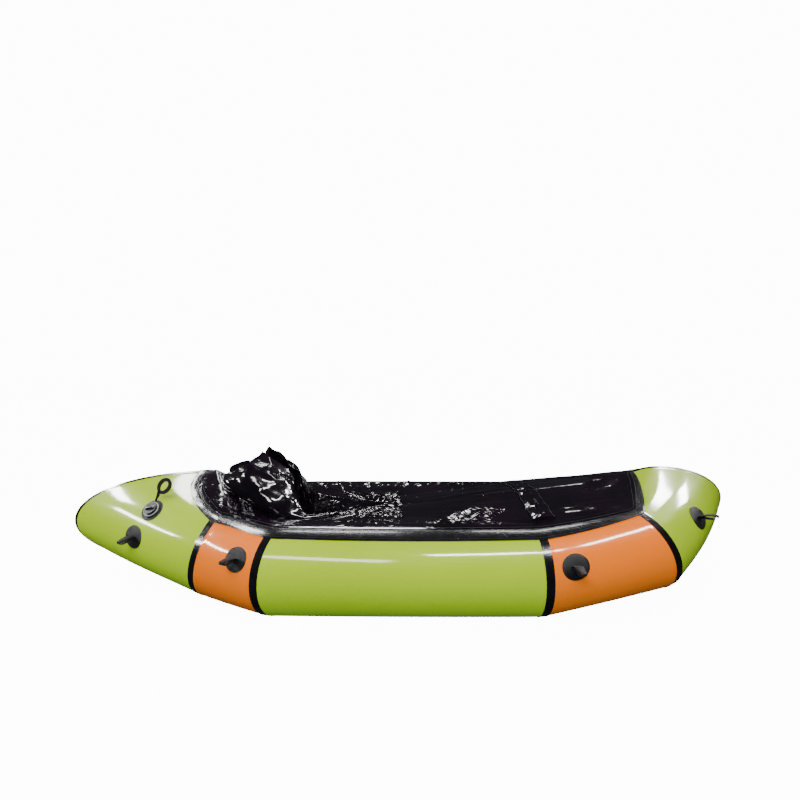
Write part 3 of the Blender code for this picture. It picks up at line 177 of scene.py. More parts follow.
def row_frame(row, angles):
    """Points of one row of the skin and the vectors that lift them off it."""
    panel, step = row
    if step is not None:
        half = half_tape_shares(panel, angles)
        return skin(panel, half + step * (1 - 2 * half), angles)
    if panel in (STERN, BOW + 1):
        points, lift = skin(min(panel, BOW), 1 if panel > BOW else 0, angles)
        lift[:, 1] = 0
        return points, lift / np.maximum((lift ** 2).sum(1, keepdims=True), LEAST_MITRE)
    before, after = row_frame((panel - 1, 1.0), angles), row_frame((panel, 0.0), angles)
    return (before[0] + after[0]) / 2, unit(before[1] + after[1])


def section(row, degrees, offset=0.0, side=1):
    """Points of one row, offset outward from the skin. Side is 1 to port and -1 to starboard."""
    points, lift = row_frame(row, np.radians(np.atleast_1d(np.asarray(degrees, float))))
    offset = np.broadcast_to(offset, len(points))[:, None]
    points = points + lift * offset
    ground = np.maximum(TAPE_TOP - offset[:, 0], 0) if row[1] in (None, 0.0, 1.0) else 0
    points[:, 2] = np.maximum(points[:, 2], ground)
    return points * (1, side, 1)


def ring_rows(counts):
    rows = []
    for panel, count in enumerate(counts):
        rows += [(panel, None)] + [(panel, step) for step in np.linspace(0, 1, count + 1)]
    return rows + [(BOW + 1, None)]


def both_sides(rows):
    return [(row, 1) for row in rows] + [(row, -1) for row in rows[-2:0:-1]]


def rim_angles(row):
    """Angles where the rim band starts and ends on a row."""
    panel, step = row
    at = step or 0.0
    following = min(panel + 1, BOW + 1)
    start = RIM_ANGLES[panel] * (1 - at) + RIM_ANGLES[following] * at
    width = BAND_WIDTH * (BAND_WIDTH_SHARES[panel] * (1 - at) + BAND_WIDTH_SHARES[following] * at)
    if panel == SIDE:
        start -= RIM_SIDE_DIP * 4 * at * (1 - at)
    if panel == FORE_QUARTER:
        start -= RIM_FORE_DIP * 4 * at * (1 - at)
    fine = np.linspace(start, 180, 200)
    return start, float(np.interp(width, run_lengths(section(row, fine)), fine))


def lap_start(row):
    at = row[1] or 0.0
    return LAP_SHARES[row[0]] * (1 - at) + LAP_SHARES[min(row[0] + 1, BOW + 1)] * at


def walk(place, forward, up):
    """Shares and angles on a panel's skin, reached from a place by steps in its tangent plane."""
    panel, share, degrees = place
    forward, up = np.atleast_1d(forward), np.atleast_1d(up)
    shares, angles = np.full(len(up), float(share)), np.full(len(up), math.radians(degrees))
    point, normal = skin(panel, shares, angles)
    along = surface(panel, shares + SMALL_STEP, angles) - point
    along = unit(along - normal * (along * normal).sum(1, keepdims=True))
    target = point + along * forward[:, None] + np.cross(along, normal) * up[:, None]
    for _ in range(WALK_STEPS):
        point = surface(panel, shares, angles)
        by_share = (surface(panel, shares + SMALL_STEP, angles) - point) / SMALL_STEP
        by_angle = (surface(panel, shares, angles + SMALL_STEP) - point) / SMALL_STEP
        away = target - point
        a, b, c = (by_share ** 2).sum(1), (by_share * by_angle).sum(1), (by_angle ** 2).sum(1)
        p, q = (by_share * away).sum(1), (by_angle * away).sum(1)
        shares = shares + (c * p - b * q) / (a * c - b * b)
        angles = angles + (a * q - b * p) / (a * c - b * b)
    return shares, angles


def laid(place, forward, up, offset, side):
    """Points laid on the tube's skin round a place."""
    shares, angles = walk(place, forward, up)
    points, normals = skin(place[0], shares, angles)
    return (points + normals * np.reshape(offset, (-1, 1))) * (1, side, 1)


def frame_at(place, side, offset=0.0, heading=(1, 0, 0)):
    point, normal = skin(place[0], place[1], math.radians(place[2]))
    point, normal = point[0] * (1, side, 1), normal[0] * (1, side, 1)
    ahead = unit(np.array(heading) - normal * np.dot(heading, normal))
    return axes(point + normal * offset, ahead, normal)


def axes(origin, x_axis, z_axis):
    made = Matrix.Identity(4)
    for index, axis in enumerate((x_axis, np.cross(z_axis, x_axis), z_axis, origin)):
        made.col[index][:3] = axis
    return made


# Finishes

def node(tree, kind, **values):
    """A shader node with values for its sockets."""
    made = tree.nodes.new(kind)
    for name, value in values.items():
        made.inputs[name.replace("_", " ")].default_value = value
    return made


def finish(name, colour, roughness, mottle=(6.0, 0.06), grain=(), wear=0.0, coat=0.0, coat_roughness=0.1,
           specular=0.5, sheen=0.0, painted_reflection_tint=None):
    """A painted, woven or moulded surface: its colour and gloss vary, and its grain is a chain of bumps."""
    made = bpy.data.materials.new(name)
    made.use_nodes = True
    tree = made.node_tree
    shader = tree.nodes["Principled BSDF"]
    for socket, value in (("Roughness", roughness), ("Coat Weight", coat), ("Coat Roughness", coat_roughness),
                          ("Specular IOR Level", specular), ("Sheen Weight", sheen)):
        shader.inputs[socket].default_value = value
    where = tree.nodes.new("ShaderNodeTexCoord")
    clouds = node(tree, "ShaderNodeTexNoise", Scale=mottle[0], Detail=4)
    tree.links.new(where.outputs["Object"], clouds.inputs["Vector"])
    ramp = tree.nodes.new("ShaderNodeValToRGB")
    low = [channel * (1 - mottle[1]) for channel in colour]
    # Where a tint is given, the lighter end of the mottle takes it: on the black films this paints a faint
    # magenta reflection into the colour.
    high = [channel * (1 + mottle[1]) for channel in (painted_reflection_tint or colour)]
    ramp.color_ramp.elements[0].position, ramp.color_ramp.elements[1].position = 0.3, 0.7
    ramp.color_ramp.elements[0].color, ramp.color_ramp.elements[1].color = (*low, 1), (*high, 1)
    tree.links.new(clouds.outputs["Fac"], ramp.inputs["Fac"])
    tree.links.new(ramp.outputs["Color"], shader.inputs["Base Color"])
    gloss = node(tree, "ShaderNodeMapRange", To_Min=roughness * (0.85 - wear),
                 To_Max=roughness * (1.15 + wear))
    smudge = node(tree, "ShaderNodeTexNoise", Scale=mottle[0] * 3)
    tree.links.new(where.outputs["Object"], smudge.inputs["Vector"])
    tree.links.new(smudge.outputs["Fac"], gloss.inputs["Value"])
    tree.links.new(gloss.outputs["Result"], shader.inputs["Roughness"])
    before = None
    for kind, scale, depth, coordinates in grain:
        height = GRAINS[kind](tree, where.outputs[coordinates], scale)
        bump = node(tree, "ShaderNodeBump", Distance=depth)
        tree.links.new(height, bump.inputs["Height"])
        if before:
            tree.links.new(before, bump.inputs["Normal"])
        before = bump.outputs["Normal"]
    if before:
        tree.links.new(before, shader.inputs["Normal"])
    return made


def pebbled(tree, where, scale):
    """Soft lumps, as on coated cloth or moulded plastic."""
    noise = node(tree, "ShaderNodeTexNoise", Scale=scale, Detail=3)
    tree.links.new(where, noise.inputs["Vector"])
    return noise.outputs["Fac"]


def creased(tree, where, scale):
    """Sharp creases, as in a stiff film that was folded away wet."""
    bent = node(tree, "ShaderNodeTexNoise", Scale=scale, Detail=2, Distortion=1.4)
    tree.links.new(where, bent.inputs["Vector"])
    centred = tree.nodes.new("ShaderNodeMath")
    centred.operation = "SUBTRACT"
    centred.inputs[1].default_value = 0.5
    tree.links.new(bent.outputs["Fac"], centred.inputs[0])
    crease = tree.nodes.new("ShaderNodeMath")
    crease.operation = "ABSOLUTE"
    tree.links.new(centred.outputs["Value"], crease.inputs[0])
    return crease.outputs["Value"]


def woven(tree, where, scale):
    """Plain weave: two sets of threads at right angles."""
    threads = []
    for direction in ("X", "Y"):
        wave = node(tree, "ShaderNodeTexWave", Scale=scale)
        wave.bands_direction = direction
        tree.links.new(where, wave.inputs["Vector"])
        threads.append(wave.outputs["Fac"])
    over = tree.nodes.new("ShaderNodeMath")
    over.operation = "MAXIMUM"
    for index, thread in enumerate(threads):
        tree.links.new(thread, over.inputs[index])
    return over.outputs["Value"]


GRAINS = {"pebbled": pebbled, "creased": creased, "woven": woven}

COATED_GRAIN = (("woven", 260, 0.00008, "UV"), ("pebbled", 14, 0.0014, "Object"))
COATED_GLOSS = {"coat": 0.9, "coat_roughness": 0.09, "specular": 0.08}
LIME = finish("lime_coated_cloth", (0.42, 0.60, 0.006), 0.30, (2.2, 0.05), COATED_GRAIN, 0.1,
              **COATED_GLOSS)
ORANGE = finish("orange_coated_cloth", (1.0, 0.190, 0.0), 0.30, (2.2, 0.05), COATED_GRAIN, 0.1,
                **COATED_GLOSS)
TAPE = finish("seam_tape_film", (0.004, 0.004, 0.006), 0.20, (30, 0.3),
              (("creased", 60, 0.0006, "Object"), ("pebbled", 400, 0.00015, "Object")), 0.2, coat=0.6)
# The deck film's magenta tint is a painted reflection: a faint glimmer of colour painted into the black film.
FILM = finish("deck_film", (0.003, 0.003, 0.005), 0.12, (5, 0.4),
              (("creased", 14, 0.0022, "Object"), ("creased", 60, 0.0002, "Object")), 0.25, coat=0.8,
              coat_roughness=0.04, painted_reflection_tint=(0.008, 0.003, 0.008))
# The skirt film's magenta tint is a painted reflection, as on the deck film.
SKIRT_FILM = finish("skirt_film", (0.003, 0.003, 0.005), 0.15, (5, 0.4),
                    (("creased", 8, 0.0030, "Object"), ("creased", 70, 0.0004, "Object")), 0.25, coat=0.8,
                    coat_roughness=0.05, painted_reflection_tint=(0.007, 0.003, 0.007))
BAND = finish("rim_band_film", (0.004, 0.004, 0.006), 0.24, (12, 0.3),
              (("creased", 45, 0.0007, "Object"), ("pebbled", 300, 0.0002, "Object")), 0.2, coat=0.5)
GREY = finish("seat_cloth", (0.042, 0.042, 0.050), 0.62, (14, 0.18),
              (("woven", 330, 0.00025, "UV"), ("creased", 24, 0.0012, "Object")), 0.1, sheen=0.2)
WEBBING = finish("woven_webbing", (0.006, 0.006, 0.007), 0.55, (60, 0.3),
                 (("woven", 420, 0.0006, "UV"), ("pebbled", 900, 0.0002, "Object")))
RUBBER = finish("patch_rubber", (0.006, 0.006, 0.007), 0.42, (40, 0.25),
                (("woven", 300, 0.00025, "UV"), ("pebbled", 500, 0.0001, "Object")), 0.15)
BLACK_PLASTIC = finish("black_moulded_plastic", (0.012, 0.012, 0.013), 0.34, (60, 0.2),
                       (("pebbled", 1400, 0.0001, "Object"),), 0.15, coat=0.15)
PALE_PLASTIC = finish("pale_moulded_plastic", (0.50, 0.51, 0.53), 0.30, (50, 0.06),
                      (("pebbled", 1400, 0.0001, "Object"),), 0.15, coat=0.1)
THREAD = finish("stitching_thread", (0.055, 0.055, 0.062), 0.6, (300, 0.3),
                (("pebbled", 1500, 0.0002, "Object"),))


# Making pieces

def select_only(*pieces):
    """Selects these pieces and makes the first of them active."""
    bpy.ops.object.select_all(action="DESELECT")
    for piece in pieces:
        piece.select_set(True)
    bpy.context.view_layer.objects.active = pieces[0]


def from_corners(name, corners, edges, faces):
    """A piece made of listed corners, edges and faces."""
    mesh = bpy.data.meshes.new(name)
    mesh.from_pydata(corners, edges, faces)
    piece = bpy.data.objects.new(name, mesh)
    bpy.context.collection.objects.link(piece)
    return piece


def close_edges(piece, step, **settings):
    """Closes a piece along its open edges and turns its faces outward."""
    select_only(piece)
    bpy.ops.object.mode_set(mode="EDIT")
    bpy.ops.mesh.select_all(action="DESELECT")
    bpy.ops.mesh.select_mode(type="EDGE")
    bpy.ops.mesh.select_non_manifold(extend=False)
    step(**settings)
    bpy.ops.mesh.select_mode(type="VERT")
    bpy.ops.mesh.select_all(action="SELECT")
    bpy.ops.mesh.normals_make_consistent(inside=False)
    bpy.ops.object.mode_set(mode="OBJECT")


def refinish(name, material):
    """Gives a node that keeps its own shape another finish."""
    nodes[name].data.materials.clear()
    nodes[name].data.materials.append(material)


def tidy_up(piece, material, body, angle=30):
    """Last steps of every piece: its finish, smooth shading and the body it moves with."""
    piece.data.materials.clear()
    piece.data.materials.append(material)
    select_only(piece)
    bpy.ops.object.transform_apply(location=True, rotation=True, scale=True)
    bpy.ops.object.shade_smooth_by_angle(angle=math.radians(angle))
    piece.select_set(False)
    if body:
        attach(piece, body)
    return piece


def apply(piece, kind, **settings):
    """Adds a modifier to a piece and applies it."""
    bpy.context.view_layer.objects.active = piece
    change = piece.modifiers.new(kind.lower(), kind)
    for name, value in settings.items():
        setattr(change, name, value)
    bpy.ops.object.modifier_apply(modifier=change.name)


def edit(piece, *steps):
    """Runs edit-mode operators on a whole piece."""
    select_only(piece)
    bpy.ops.object.mode_set(mode="EDIT")
    for step, settings in steps:
        bpy.ops.mesh.select_all(action="SELECT")
        step(**settings)
    bpy.ops.object.mode_set(mode="OBJECT")


def drawn_grid(name, points, outward=None, round_rows=False, round_columns=False):
    """A grid primitive drawn over three or more rows of points, with its UV map in metres."""
    points = np.array(points, float)
    if round_rows:
        points = np.concatenate([points, points[:1]])
    if round_columns:
        points = np.concatenate([points, points[:, :1]], axis=1)
    rows, columns = points.shape[:2]
    bpy.ops.object.select_all(action="DESELECT")
    bpy.ops.mesh.primitive_grid_add(x_subdivisions=columns - 1, y_subdivisions=rows - 1, size=1)
    piece = bpy.context.object
    piece.name = piece.data.name = name
    start = np.zeros(rows * columns * 3)
    piece.data.vertices.foreach_get("co", start)
    start = start.reshape(-1, 3)
    column = np.rint((start[:, 0] + 0.5) * (columns - 1)).astype(int)
    row = np.rint((start[:, 1] + 0.5) * (rows - 1)).astype(int)
    piece.data.vertices.foreach_set("co", points[row, column].ravel())
    across = np.linalg.norm(np.diff(points, axis=1), axis=2).mean(0)
    along = np.linalg.norm(np.diff(points, axis=0), axis=2).mean(1)
    across, along = (np.concatenate([[0], np.cumsum(steps)]) for steps in (across, along))
    corners = np.zeros(len(piece.data.loops), int)
    piece.data.loops.foreach_get("vertex_index", corners)
    flat = np.stack([across[column[corners]], along[row[corners]]], 1)
    piece.data.uv_layers[0].data.foreach_set("uv", flat.ravel())
    piece.data.update()
    if outward is not None:
        middle = rows // 2
        facing = np.cross(points[middle, 1:] - points[middle, :-1],
                          points[middle + 1, :-1] - points[middle, :-1])
        lift = np.array(outward, float)
        lift = lift if lift.ndim == 1 else lift[min(middle, len(lift) - 1)][:len(facing)]
        if (facing * lift).sum() < 0:
            piece.data.flip_normals()
    if round_rows or round_columns:
        edit(piece, (bpy.ops.mesh.remove_doubles, {"threshold": WELD}))
    return piece


def cloth(name, upper, lower, material, slot, body="hull", round_rows=False, round_columns=False, angle=30,
          replaced=None):
    """A sheet of cloth between two matching grids of points."""
    upper, lower = np.array(upper, float), np.array(lower, float)
    piece = drawn_grid(name, upper, upper - lower, round_rows, round_columns)
    wall = float(np.median(np.linalg.norm(upper - lower, axis=2)))
    apply(piece, "SOLIDIFY", thickness=wall, offset=-1)
    tidy_up(piece, material, body, angle)
    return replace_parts(piece, replaced or name)


def spun(name, profile, place, steps=72, bevel=0.0004, angle=30):
    """A profile of radius and height, spun round its axis and rounded at its edges."""
    piece = from_corners(name, [(radius, 0, height) for radius, height in profile],
                         [(index, index + 1) for index in range(len(profile) - 1)], [])
    spin = {"steps": steps, "angle": 2 * math.pi, "center": (0, 0, 0), "axis": (0, 0, 1)}
    edit(piece, (bpy.ops.mesh.spin, spin),
         (bpy.ops.mesh.remove_doubles, {"threshold": WELD}),
         (bpy.ops.mesh.normals_make_consistent, {"inside": False}))
    if bevel:
        apply(piece, "BEVEL", width=bevel, segments=2, limit_method="ANGLE", angle_limit=math.radians(angle))
    piece.matrix_world = place
    return piece


def stitches(name, points, normals, body="hull", spacing=0.006, length=0.0038, radius=0.0006):
    """A row of sewn stitches along a line of points."""
    points, normals = np.array(points, float), np.array(normals, float)
    along = run_lengths(points)
    at = np.arange(spacing / 2, along[-1] - spacing / 2, spacing)
    middles = np.stack([np.interp(at, along, points[:, axis]) for axis in range(3)], 1)
    ups = unit(np.stack([np.interp(at, along, normals[:, axis]) for axis in range(3)], 1))
    ahead = unit(np.stack([np.interp(at + SMALL_STEP, along, points[:, axis]) for axis in range(3)], 1)
                 - np.stack([np.interp(at - SMALL_STEP, along, points[:, axis]) for axis in range(3)], 1))
    asides = np.cross(ups, ahead)
    shape = ((-0.5, 0, 0), (0, 1, 0), (0, 0, 1), (0, -1, 0), (0, 0, -1), (0.5, 0, 0))
    corners = np.array([middles + ahead * length * x + asides * radius * y + ups * radius * z
                        for x, y, z in shape]).transpose(1, 0, 2).reshape(-1, 3)
    faces = []
    for index in range(len(at)):
        first = index * 6
        for side in range(4):
            a, b = first + 1 + side, first + 1 + (side + 1) % 4
            faces += [(first, b, a), (first + 5, a, b)]
    piece = from_corners(name, corners.tolist(), [], faces)
    edit(piece, (bpy.ops.mesh.normals_make_consistent, {"inside": False}))
    tidy_up(piece, THREAD, body)


# Crinkles

def crumple(u, v, cell, seed):
    """Height of a crumpled film from -1 to 1: flat facets that meet in sharp creases."""
    table = np.random.default_rng(seed).uniform(-1, 1, (61, 67))
    warp_u = u + 0.35 * cell * np.sin(v / cell * 1.7 + seed)
    warp_v = v + 0.35 * cell * np.sin(u / cell * 1.3 + 2 * seed)
    a = (warp_u - warp_v / math.sqrt(3)) / cell
    b = warp_v * 2 / math.sqrt(3) / cell
    i, j = np.floor(a).astype(int), np.floor(b).astype(int)
    a, b = a - i, b - j

    def height(across, up):
        return table[(i + across) % 61, (j + up) % 67]

    near = height(0, 0) + a * (height(1, 0) - height(0, 0)) + b * (height(0, 1) - height(0, 0))
    far = height(1, 1) + (1 - a) * (height(0, 1) - height(1, 1)) + (1 - b) * (height(1, 0) - height(1, 1))
    return np.where(a + b < 1, near, far)


def pull(x, y, start, end, width, height, bend=0.0, spread=0.0):
    """Height of one pulled fold of the deck, from its start to its end."""
    start, end = np.array(start, float), np.array(end, float)
    length = np.linalg.norm(end - start)
    ahead = (end - start) / length
    share = ((x - start[0]) * ahead[0] + (y - start[1]) * ahead[1]) / length
    aside = (y - start[1]) * ahead[0] - (x - start[0]) * ahead[1] - bend * length * 4 * share * (1 - share)
    near = np.clip(1 - np.abs(aside) / (width * (1 + spread * share)), 0, 1)
    return height * near ** 1.5 * smooth(share / 0.15) * smooth((1 - share) / 0.4) * (share > 0) * (share < 1)


def fan(seed, count, first, last, first_end, last_end, width, height, bend=0.0, spread=0.0):
    """Pulled folds side by side, from a line of starts to a line of ends."""
    draw = np.random.default_rng(seed)
    made = []
    for index in range(count):
        share = (index + draw.uniform(0.1, 0.9)) / count
        start = np.array(first) * (1 - share) + np.array(last) * share
        end = np.array(first_end) * (1 - share) + np.array(last_end) * share
        late, early = draw.uniform(0, 0.08), draw.uniform(0, 0.35)
        start, end = start + (end - start) * late, end - (end - start) * early
        made.append((start, end, width * draw.uniform(0.6, 1.4), height * draw.uniform(0.5, 1.3),
                     bend + draw.uniform(-0.02, 0.02), spread))
    return made


APEX = (0.020, -0.012)
PULLS = (
    fan(1, 13, APEX, APEX, (-0.30, 0.28), (0.035, 0.30), 0.0080, 0.0085, 0.02, 1.2)
    + fan(2, 11, APEX, APEX, (-0.26, -0.32), (0.075, -0.32), 0.0080, 0.0085, -0.02, 1.2)
    + fan(3, 4, (0.50, 0.28), (0.47, 0.10), (0.14, 0.10), (0.12, 0.0), 0.020, 0.0050, 0.01, 0.5)
    + fan(4, 8, (0.06, -0.36), (0.26, -0.36), (0.46, 0.09), (0.47, -0.12), 0.0090, 0.0080, 0.0, 0.3)
    + fan(5, 6, (0.84, 0.17), (0.88, 0.07), (0.60, -0.16), (0.70, -0.16), 0.014, 0.0070, 0.03, 0.5)
    + fan(6, 5, (0.55, -0.26), (0.55, -0.20), (0.80, -0.25), (0.82, -0.18), 0.009, 0.0030)
    + fan(7, 10, (-0.36, 0.36), (0.10, 0.36), (-0.25, 0.10), (0.04, 0.24), 0.010, 0.0080, 0.02)
    + fan(8, 8, (-0.34, -0.36), (0.02, -0.36), (-0.20, -0.15), (-0.02, -0.24), 0.009, 0.0045)
    + fan(9, 9, (0.16, 0.36), (0.46, 0.36), (0.10, 0.22), (0.40, 0.25), 0.010, 0.0050)
)


def wrinkles(x, y):
    """Height of the deck's film above its taut shape."""
    height = np.zeros_like(x)
    for start, end, width, rise, bend, spread in PULLS:
        height = height + pull(x, y, start, end, width, rise, bend, spread)
    port_edge = smooth((y - 0.24) / 0.06) * smooth((0.56 - np.abs(x - 0.06)) / 0.08)
    aft_rim = smooth((-0.52 - x) / 0.10)
    starboard = smooth((-0.27 - y) / 0.05) * smooth((0.10 - x) / 0.2)
    bow = smooth((x - 0.72) / 0.1)
    active = np.clip(port_edge + aft_rim + 0.6 * starboard + 0.4 * bow, 0, 1)
    height = height + active * (0.0032 * crumple(x, y, 0.026, 3) + 0.0016 * crumple(x, y, 0.012, 4))
    return height + 0.0012 * crumple(x, y, 0.13, 5) + 0.0002 * crumple(x, y * 1.5, 0.050, 6)


# Camera at the photograph's place
CAMERA_AZIMUTH, CAMERA_ELEVATION, CAMERA_ROLL = (math.radians(angle) for angle in (1.5, 17.4, -0.74))
CAMERA_TARGET = (0, 0, 0.15)
CAMERA_DISTANCE = 2.144


def camera():
    azimuth, elevation, roll = CAMERA_AZIMUTH, CAMERA_ELEVATION, CAMERA_ROLL
    back = Vector((math.sin(azimuth) * math.cos(elevation), -math.cos(azimuth) * math.cos(elevation),
                   math.sin(elevation)))
    level = Vector((math.cos(azimuth), math.sin(azimuth), 0))
    upright = back.cross(level)
    right = math.cos(roll) * level + math.sin(roll) * upright
    up = -math.sin(roll) * level + math.cos(roll) * upright
    place = Matrix.Identity(4)
    for index, axis in enumerate((right, up, back, Vector(CAMERA_TARGET) + back * CAMERA_DISTANCE)):
        place.col[index][:3] = axis
    bpy.ops.object.camera_add()
    made = bpy.context.object
    made.matrix_world = place
    made.data.lens = 25.0
    made.data.sensor_width = 36
    made.data.shift_x, made.data.shift_y = 0.010, 0.175
    made.data.clip_start = 0.05
    made.data.clip_end = 200
    bpy.context.scene.camera = made


# Inflated ring

def tube_skin(panel, side):
    """One cut panel of the ring. Its cloth puckers a little where it meets the seam tapes."""
    name = f"tube_{PANEL_NAMES[panel]}_{'port' if side > 0 else 'starboard'}"
    degrees = np.arange(0, 360, 3.0)
    turns = np.radians(degrees)
    draw = np.random.default_rng(panel)
    waves = sum(np.sin(turns * count + draw.uniform(0, 6)) for count in (23, 37, 52)) / 3
    steps = np.linspace(0, 1, PANEL_ROWS[panel])
    steps = 0.35 * steps + 0.65 * (0.5 - 0.5 * np.cos(math.pi * steps))
    length = half_tape_shares(panel, turns)
    spans = TAPE_WIDTH / 2 / length * (1 - 2 * length)
    rows = [section((panel, None), degrees, 0, side)]
    for step in steps:
        near = np.minimum(step, 1 - step) * spans
        depth = 0.0011 * (0.5 + 0.5 * waves) * np.exp(-near / 0.020) * smooth(near / 0.004)
        rows.append(section((panel, float(step)), degrees, -depth, side))
    rows.append(section((panel + 1, None), degrees, 0, side))
    rows = np.array(rows)
    for end, draw_back in ((0, GAP / 2), (-1, -GAP / 2)):
        spokes = rows[end] - rows[end].mean(0)
        rows[end] += side * unit(np.cross(spokes, np.roll(spokes, -1, axis=0)).sum(0)) * draw_back
    piece = drawn_grid(name + "_skin", rows, rows - rows.mean(1, keepdims=True), round_columns=True)
    close_edges(piece, bpy.ops.mesh.fill_holes, sides=0)
    if panel == STERN and side < 0:
        let_in_valve(piece)
    quarter = panel in (AFT_QUARTER, FORE_QUARTER)
    tidy_up(piece, ORANGE if quarter else LIME, "hull", 40)
    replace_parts(piece, name)


def let_in_valve(piece):
    """Cuts the pocket for the inflation valve."""
    place = frame_at(VALVE_PLACE, -1)
    bpy.ops.mesh.primitive_cylinder_add(vertices=72, radius=VALVE_RING_RADIUS + 2 * GAP, depth=0.060)
    cutter = bpy.context.object
    cutter.matrix_world = place
    apply(piece, "BOOLEAN", operation="DIFFERENCE", solver="EXACT", object=cutter)
    bpy.data.objects.remove(cutter, do_unlink=True)


def widened(rows, parts):
    """Rows with straight steps put between them."""
    made = []
    for before, after in zip(rows[:-1], rows[1:]):
        made += [before + (after - before) * part / parts for part in range(parts)]
    return made + [rows[-1]]


def ring_tape(seam, side):
    name = f"tape_{SEAM_NAMES[seam - 1]}_{'port' if side > 0 else 'starboard'}"
    rows = [(seam - 1, 1.0), (seam, None), (seam, 0.0)]
    degrees = np.arange(0, 360, 3.0)
    layers = [widened([section(row, degrees, offset, side) for row in rows], 3) for offset in (TAPE_TOP, GAP)]
    cloth(name + "_film", *layers, TAPE, "seam_tape", round_columns=True, replaced=name, angle=40)


def centre_tape(name, seam, upper_end):
    edge = (STERN, 0.0) if seam == STERN else (BOW, 1.0)
    rows = [(edge, 1), ((seam, None), 1), (edge, -1)]
    degrees = np.arange(upper_end, -101, -2.0)
    layers = [widened([section(row, degrees, offset, side) for row, side in rows], 3)
              for offset in (TAPE_TOP + GAP, 2 * GAP)]
    cloth(name + "_film", *layers, TAPE, "seam_tape", replaced=name, angle=50)


def rim_band():
    """Film band glued round the tops of the tubes, crinkled where the deck pulls on it."""
    rows = both_sides(ring_rows([count // 2 for count in FINE_ROWS]))
    shares = np.linspace(0, 1, 16)
    upper, lower = [], []
    for row, side in rows:
        start, end = rim_angles(row)
        degrees = start + (end - start) * shares
        flat = section(row, degrees, BAND_TOP, side)
        x, y = flat[:, 0], flat[:, 1]
        slack = smooth((-0.45 - x) / 0.15) + 0.5 * smooth((y - 0.30) / 0.05) + 0.5 * smooth((x - 0.75) / 0.1)
        body = smooth(shares / 0.12) * smooth((lap_start(row) - 0.02 - shares) / 0.2)
        rise = np.clip(slack, 0, 1) * body * 0.0013 * (0.6 + 0.5 * crumple(x, y, 0.022, 9))
        upper.append(section(row, degrees, BAND_TOP + np.maximum(rise, 0), side))
        lower.append(section(row, degrees, BAND_FOOT, side))
    cloth("rim_band_film", upper, lower, BAND, "deck_film", round_rows=True, replaced="rim_band")
    for index, part in enumerate((0.14, 0.86)):
        line, foot = [], []
        for row, side in rows + rows[:1]:
            start, end = rim_angles(row)
            degrees = start + (end - start) * part * lap_start(row)
            line.append(section(row, degrees, BAND_TOP + 0.0004, side)[0])
            foot.append(section(row, degrees, 0, side)[0])
        stitches(f"rim_band_stitches_{index + 1}", line, np.array(line) - np.array(foot))


def hatch_centre():
    x = HATCH_APEX_X - HATCH_LENGTH * math.cos(HATCH_SKEW)
    return np.array((x, -HATCH_LENGTH * math.sin(HATCH_SKEW), 0))


def hatch_turns(rows, bow_index):
    reach = np.array([section(row, CREST_ANGLE, 0, side)[0] for row, side in rows]) - hatch_centre()
    turns = (np.arctan2(reach[:, 1], reach[:, 0]) + math.pi - HATCH_SKEW) % (2 * math.pi) - math.pi
    bow = turns[bow_index]
    return turns - bow * (1 - np.abs(turns - bow) / (2 * math.pi)) ** 4


def hatch_edge(turns):
    spread = math.acos(HATCH_RADIUS / HATCH_LENGTH)
    reach = HATCH_RADIUS / np.cos(np.maximum(spread - np.abs(turns), 0))
    headings = np.stack([np.cos(turns + HATCH_SKEW), np.sin(turns + HATCH_SKEW), np.zeros_like(turns)], 1)
    points = hatch_centre() + headings * reach[:, None]
    back = np.clip((HATCH_APEX_X - points[:, 0]) / (HATCH_LENGTH + HATCH_RADIUS), 0, 1)
    points[:, 2] = HATCH_APEX_Z + HATCH_BACK_RISE * back ** 4
    return points, headings


def leaving_angle(row, side, lowest, target):
    degrees = np.linspace(lowest, LAST_LEAVING_ANGLE, 90)
    points = section(row, degrees, DECK_FOOT, side) - target
    slopes = np.arctan2(points[:, 2], np.hypot(points[:, 0], points[:, 1]))
    return degrees[np.argmax(slopes)]


DECK_ROWS = both_sides(ring_rows(FINE_ROWS))
BOW_ROW = len(ring_rows(FINE_ROWS)) - 1
DECK_TURNS = hatch_turns(DECK_ROWS, BOW_ROW)
HATCH_RIM, HATCH_HEADINGS = hatch_edge(DECK_TURNS)
LAP_COLUMNS, REST_COLUMNS, OPEN_COLUMNS = 6, 7, 66


def deck_grid(offset):
    """Rows of the deck's film from its lap on the band to the hatch."""
    grid = []
    for (row, side), target in zip(DECK_ROWS, HATCH_RIM):
        start, end = rim_angles(row)
        leaves = leaving_angle(row, side, end + LEAST_REST_ANGLE, target)
        lap = start + (end - start) * np.linspace(lap_start(row), 1, LAP_COLUMNS, endpoint=False)
        degrees = np.concatenate([lap, np.linspace(end, leaves, REST_COLUMNS)])
        on_tube = section(row, degrees, offset, side)
        edge = target + (0, 0, offset - DECK_FOOT)
        shares = np.linspace(0, 1, OPEN_COLUMNS + 1)[1:, None]
        grid.append(np.concatenate([on_tube, on_tube[-1] * (1 - shares) + edge * shares]))
    return np.array(grid)


def deck_skin():
    """The deck's film, pulled in folds towards the hatch and crinkled along its edge."""
    lower, upper = deck_grid(DECK_FOOT), deck_grid(DECK_TOP)
    height = wrinkles(upper[..., 0], upper[..., 1])
    column = np.arange(upper.shape[1])
    resting = LAP_COLUMNS + REST_COLUMNS
    free = smooth((column - resting + 3) / 6)
    height = height * free + (1 - free) * np.maximum(height, 0) * smooth((column - 1) / 5) * 0.6
    upper[..., 2] += height
    lower[..., 2] += height
    piece = cloth("deck_skin_film", upper, lower, FILM, "deck_film", round_rows=True, replaced="deck_skin",
                  angle=25)
    line = upper[:, 2]
    closed = np.concatenate([line, line[:1]])
    normals = np.concatenate([upper[:, 2] - lower[:, 2]] * 2)[:len(closed)]
    stitches("deck_edge_stitches", closed + unit(normals) * 0.0004, normals)


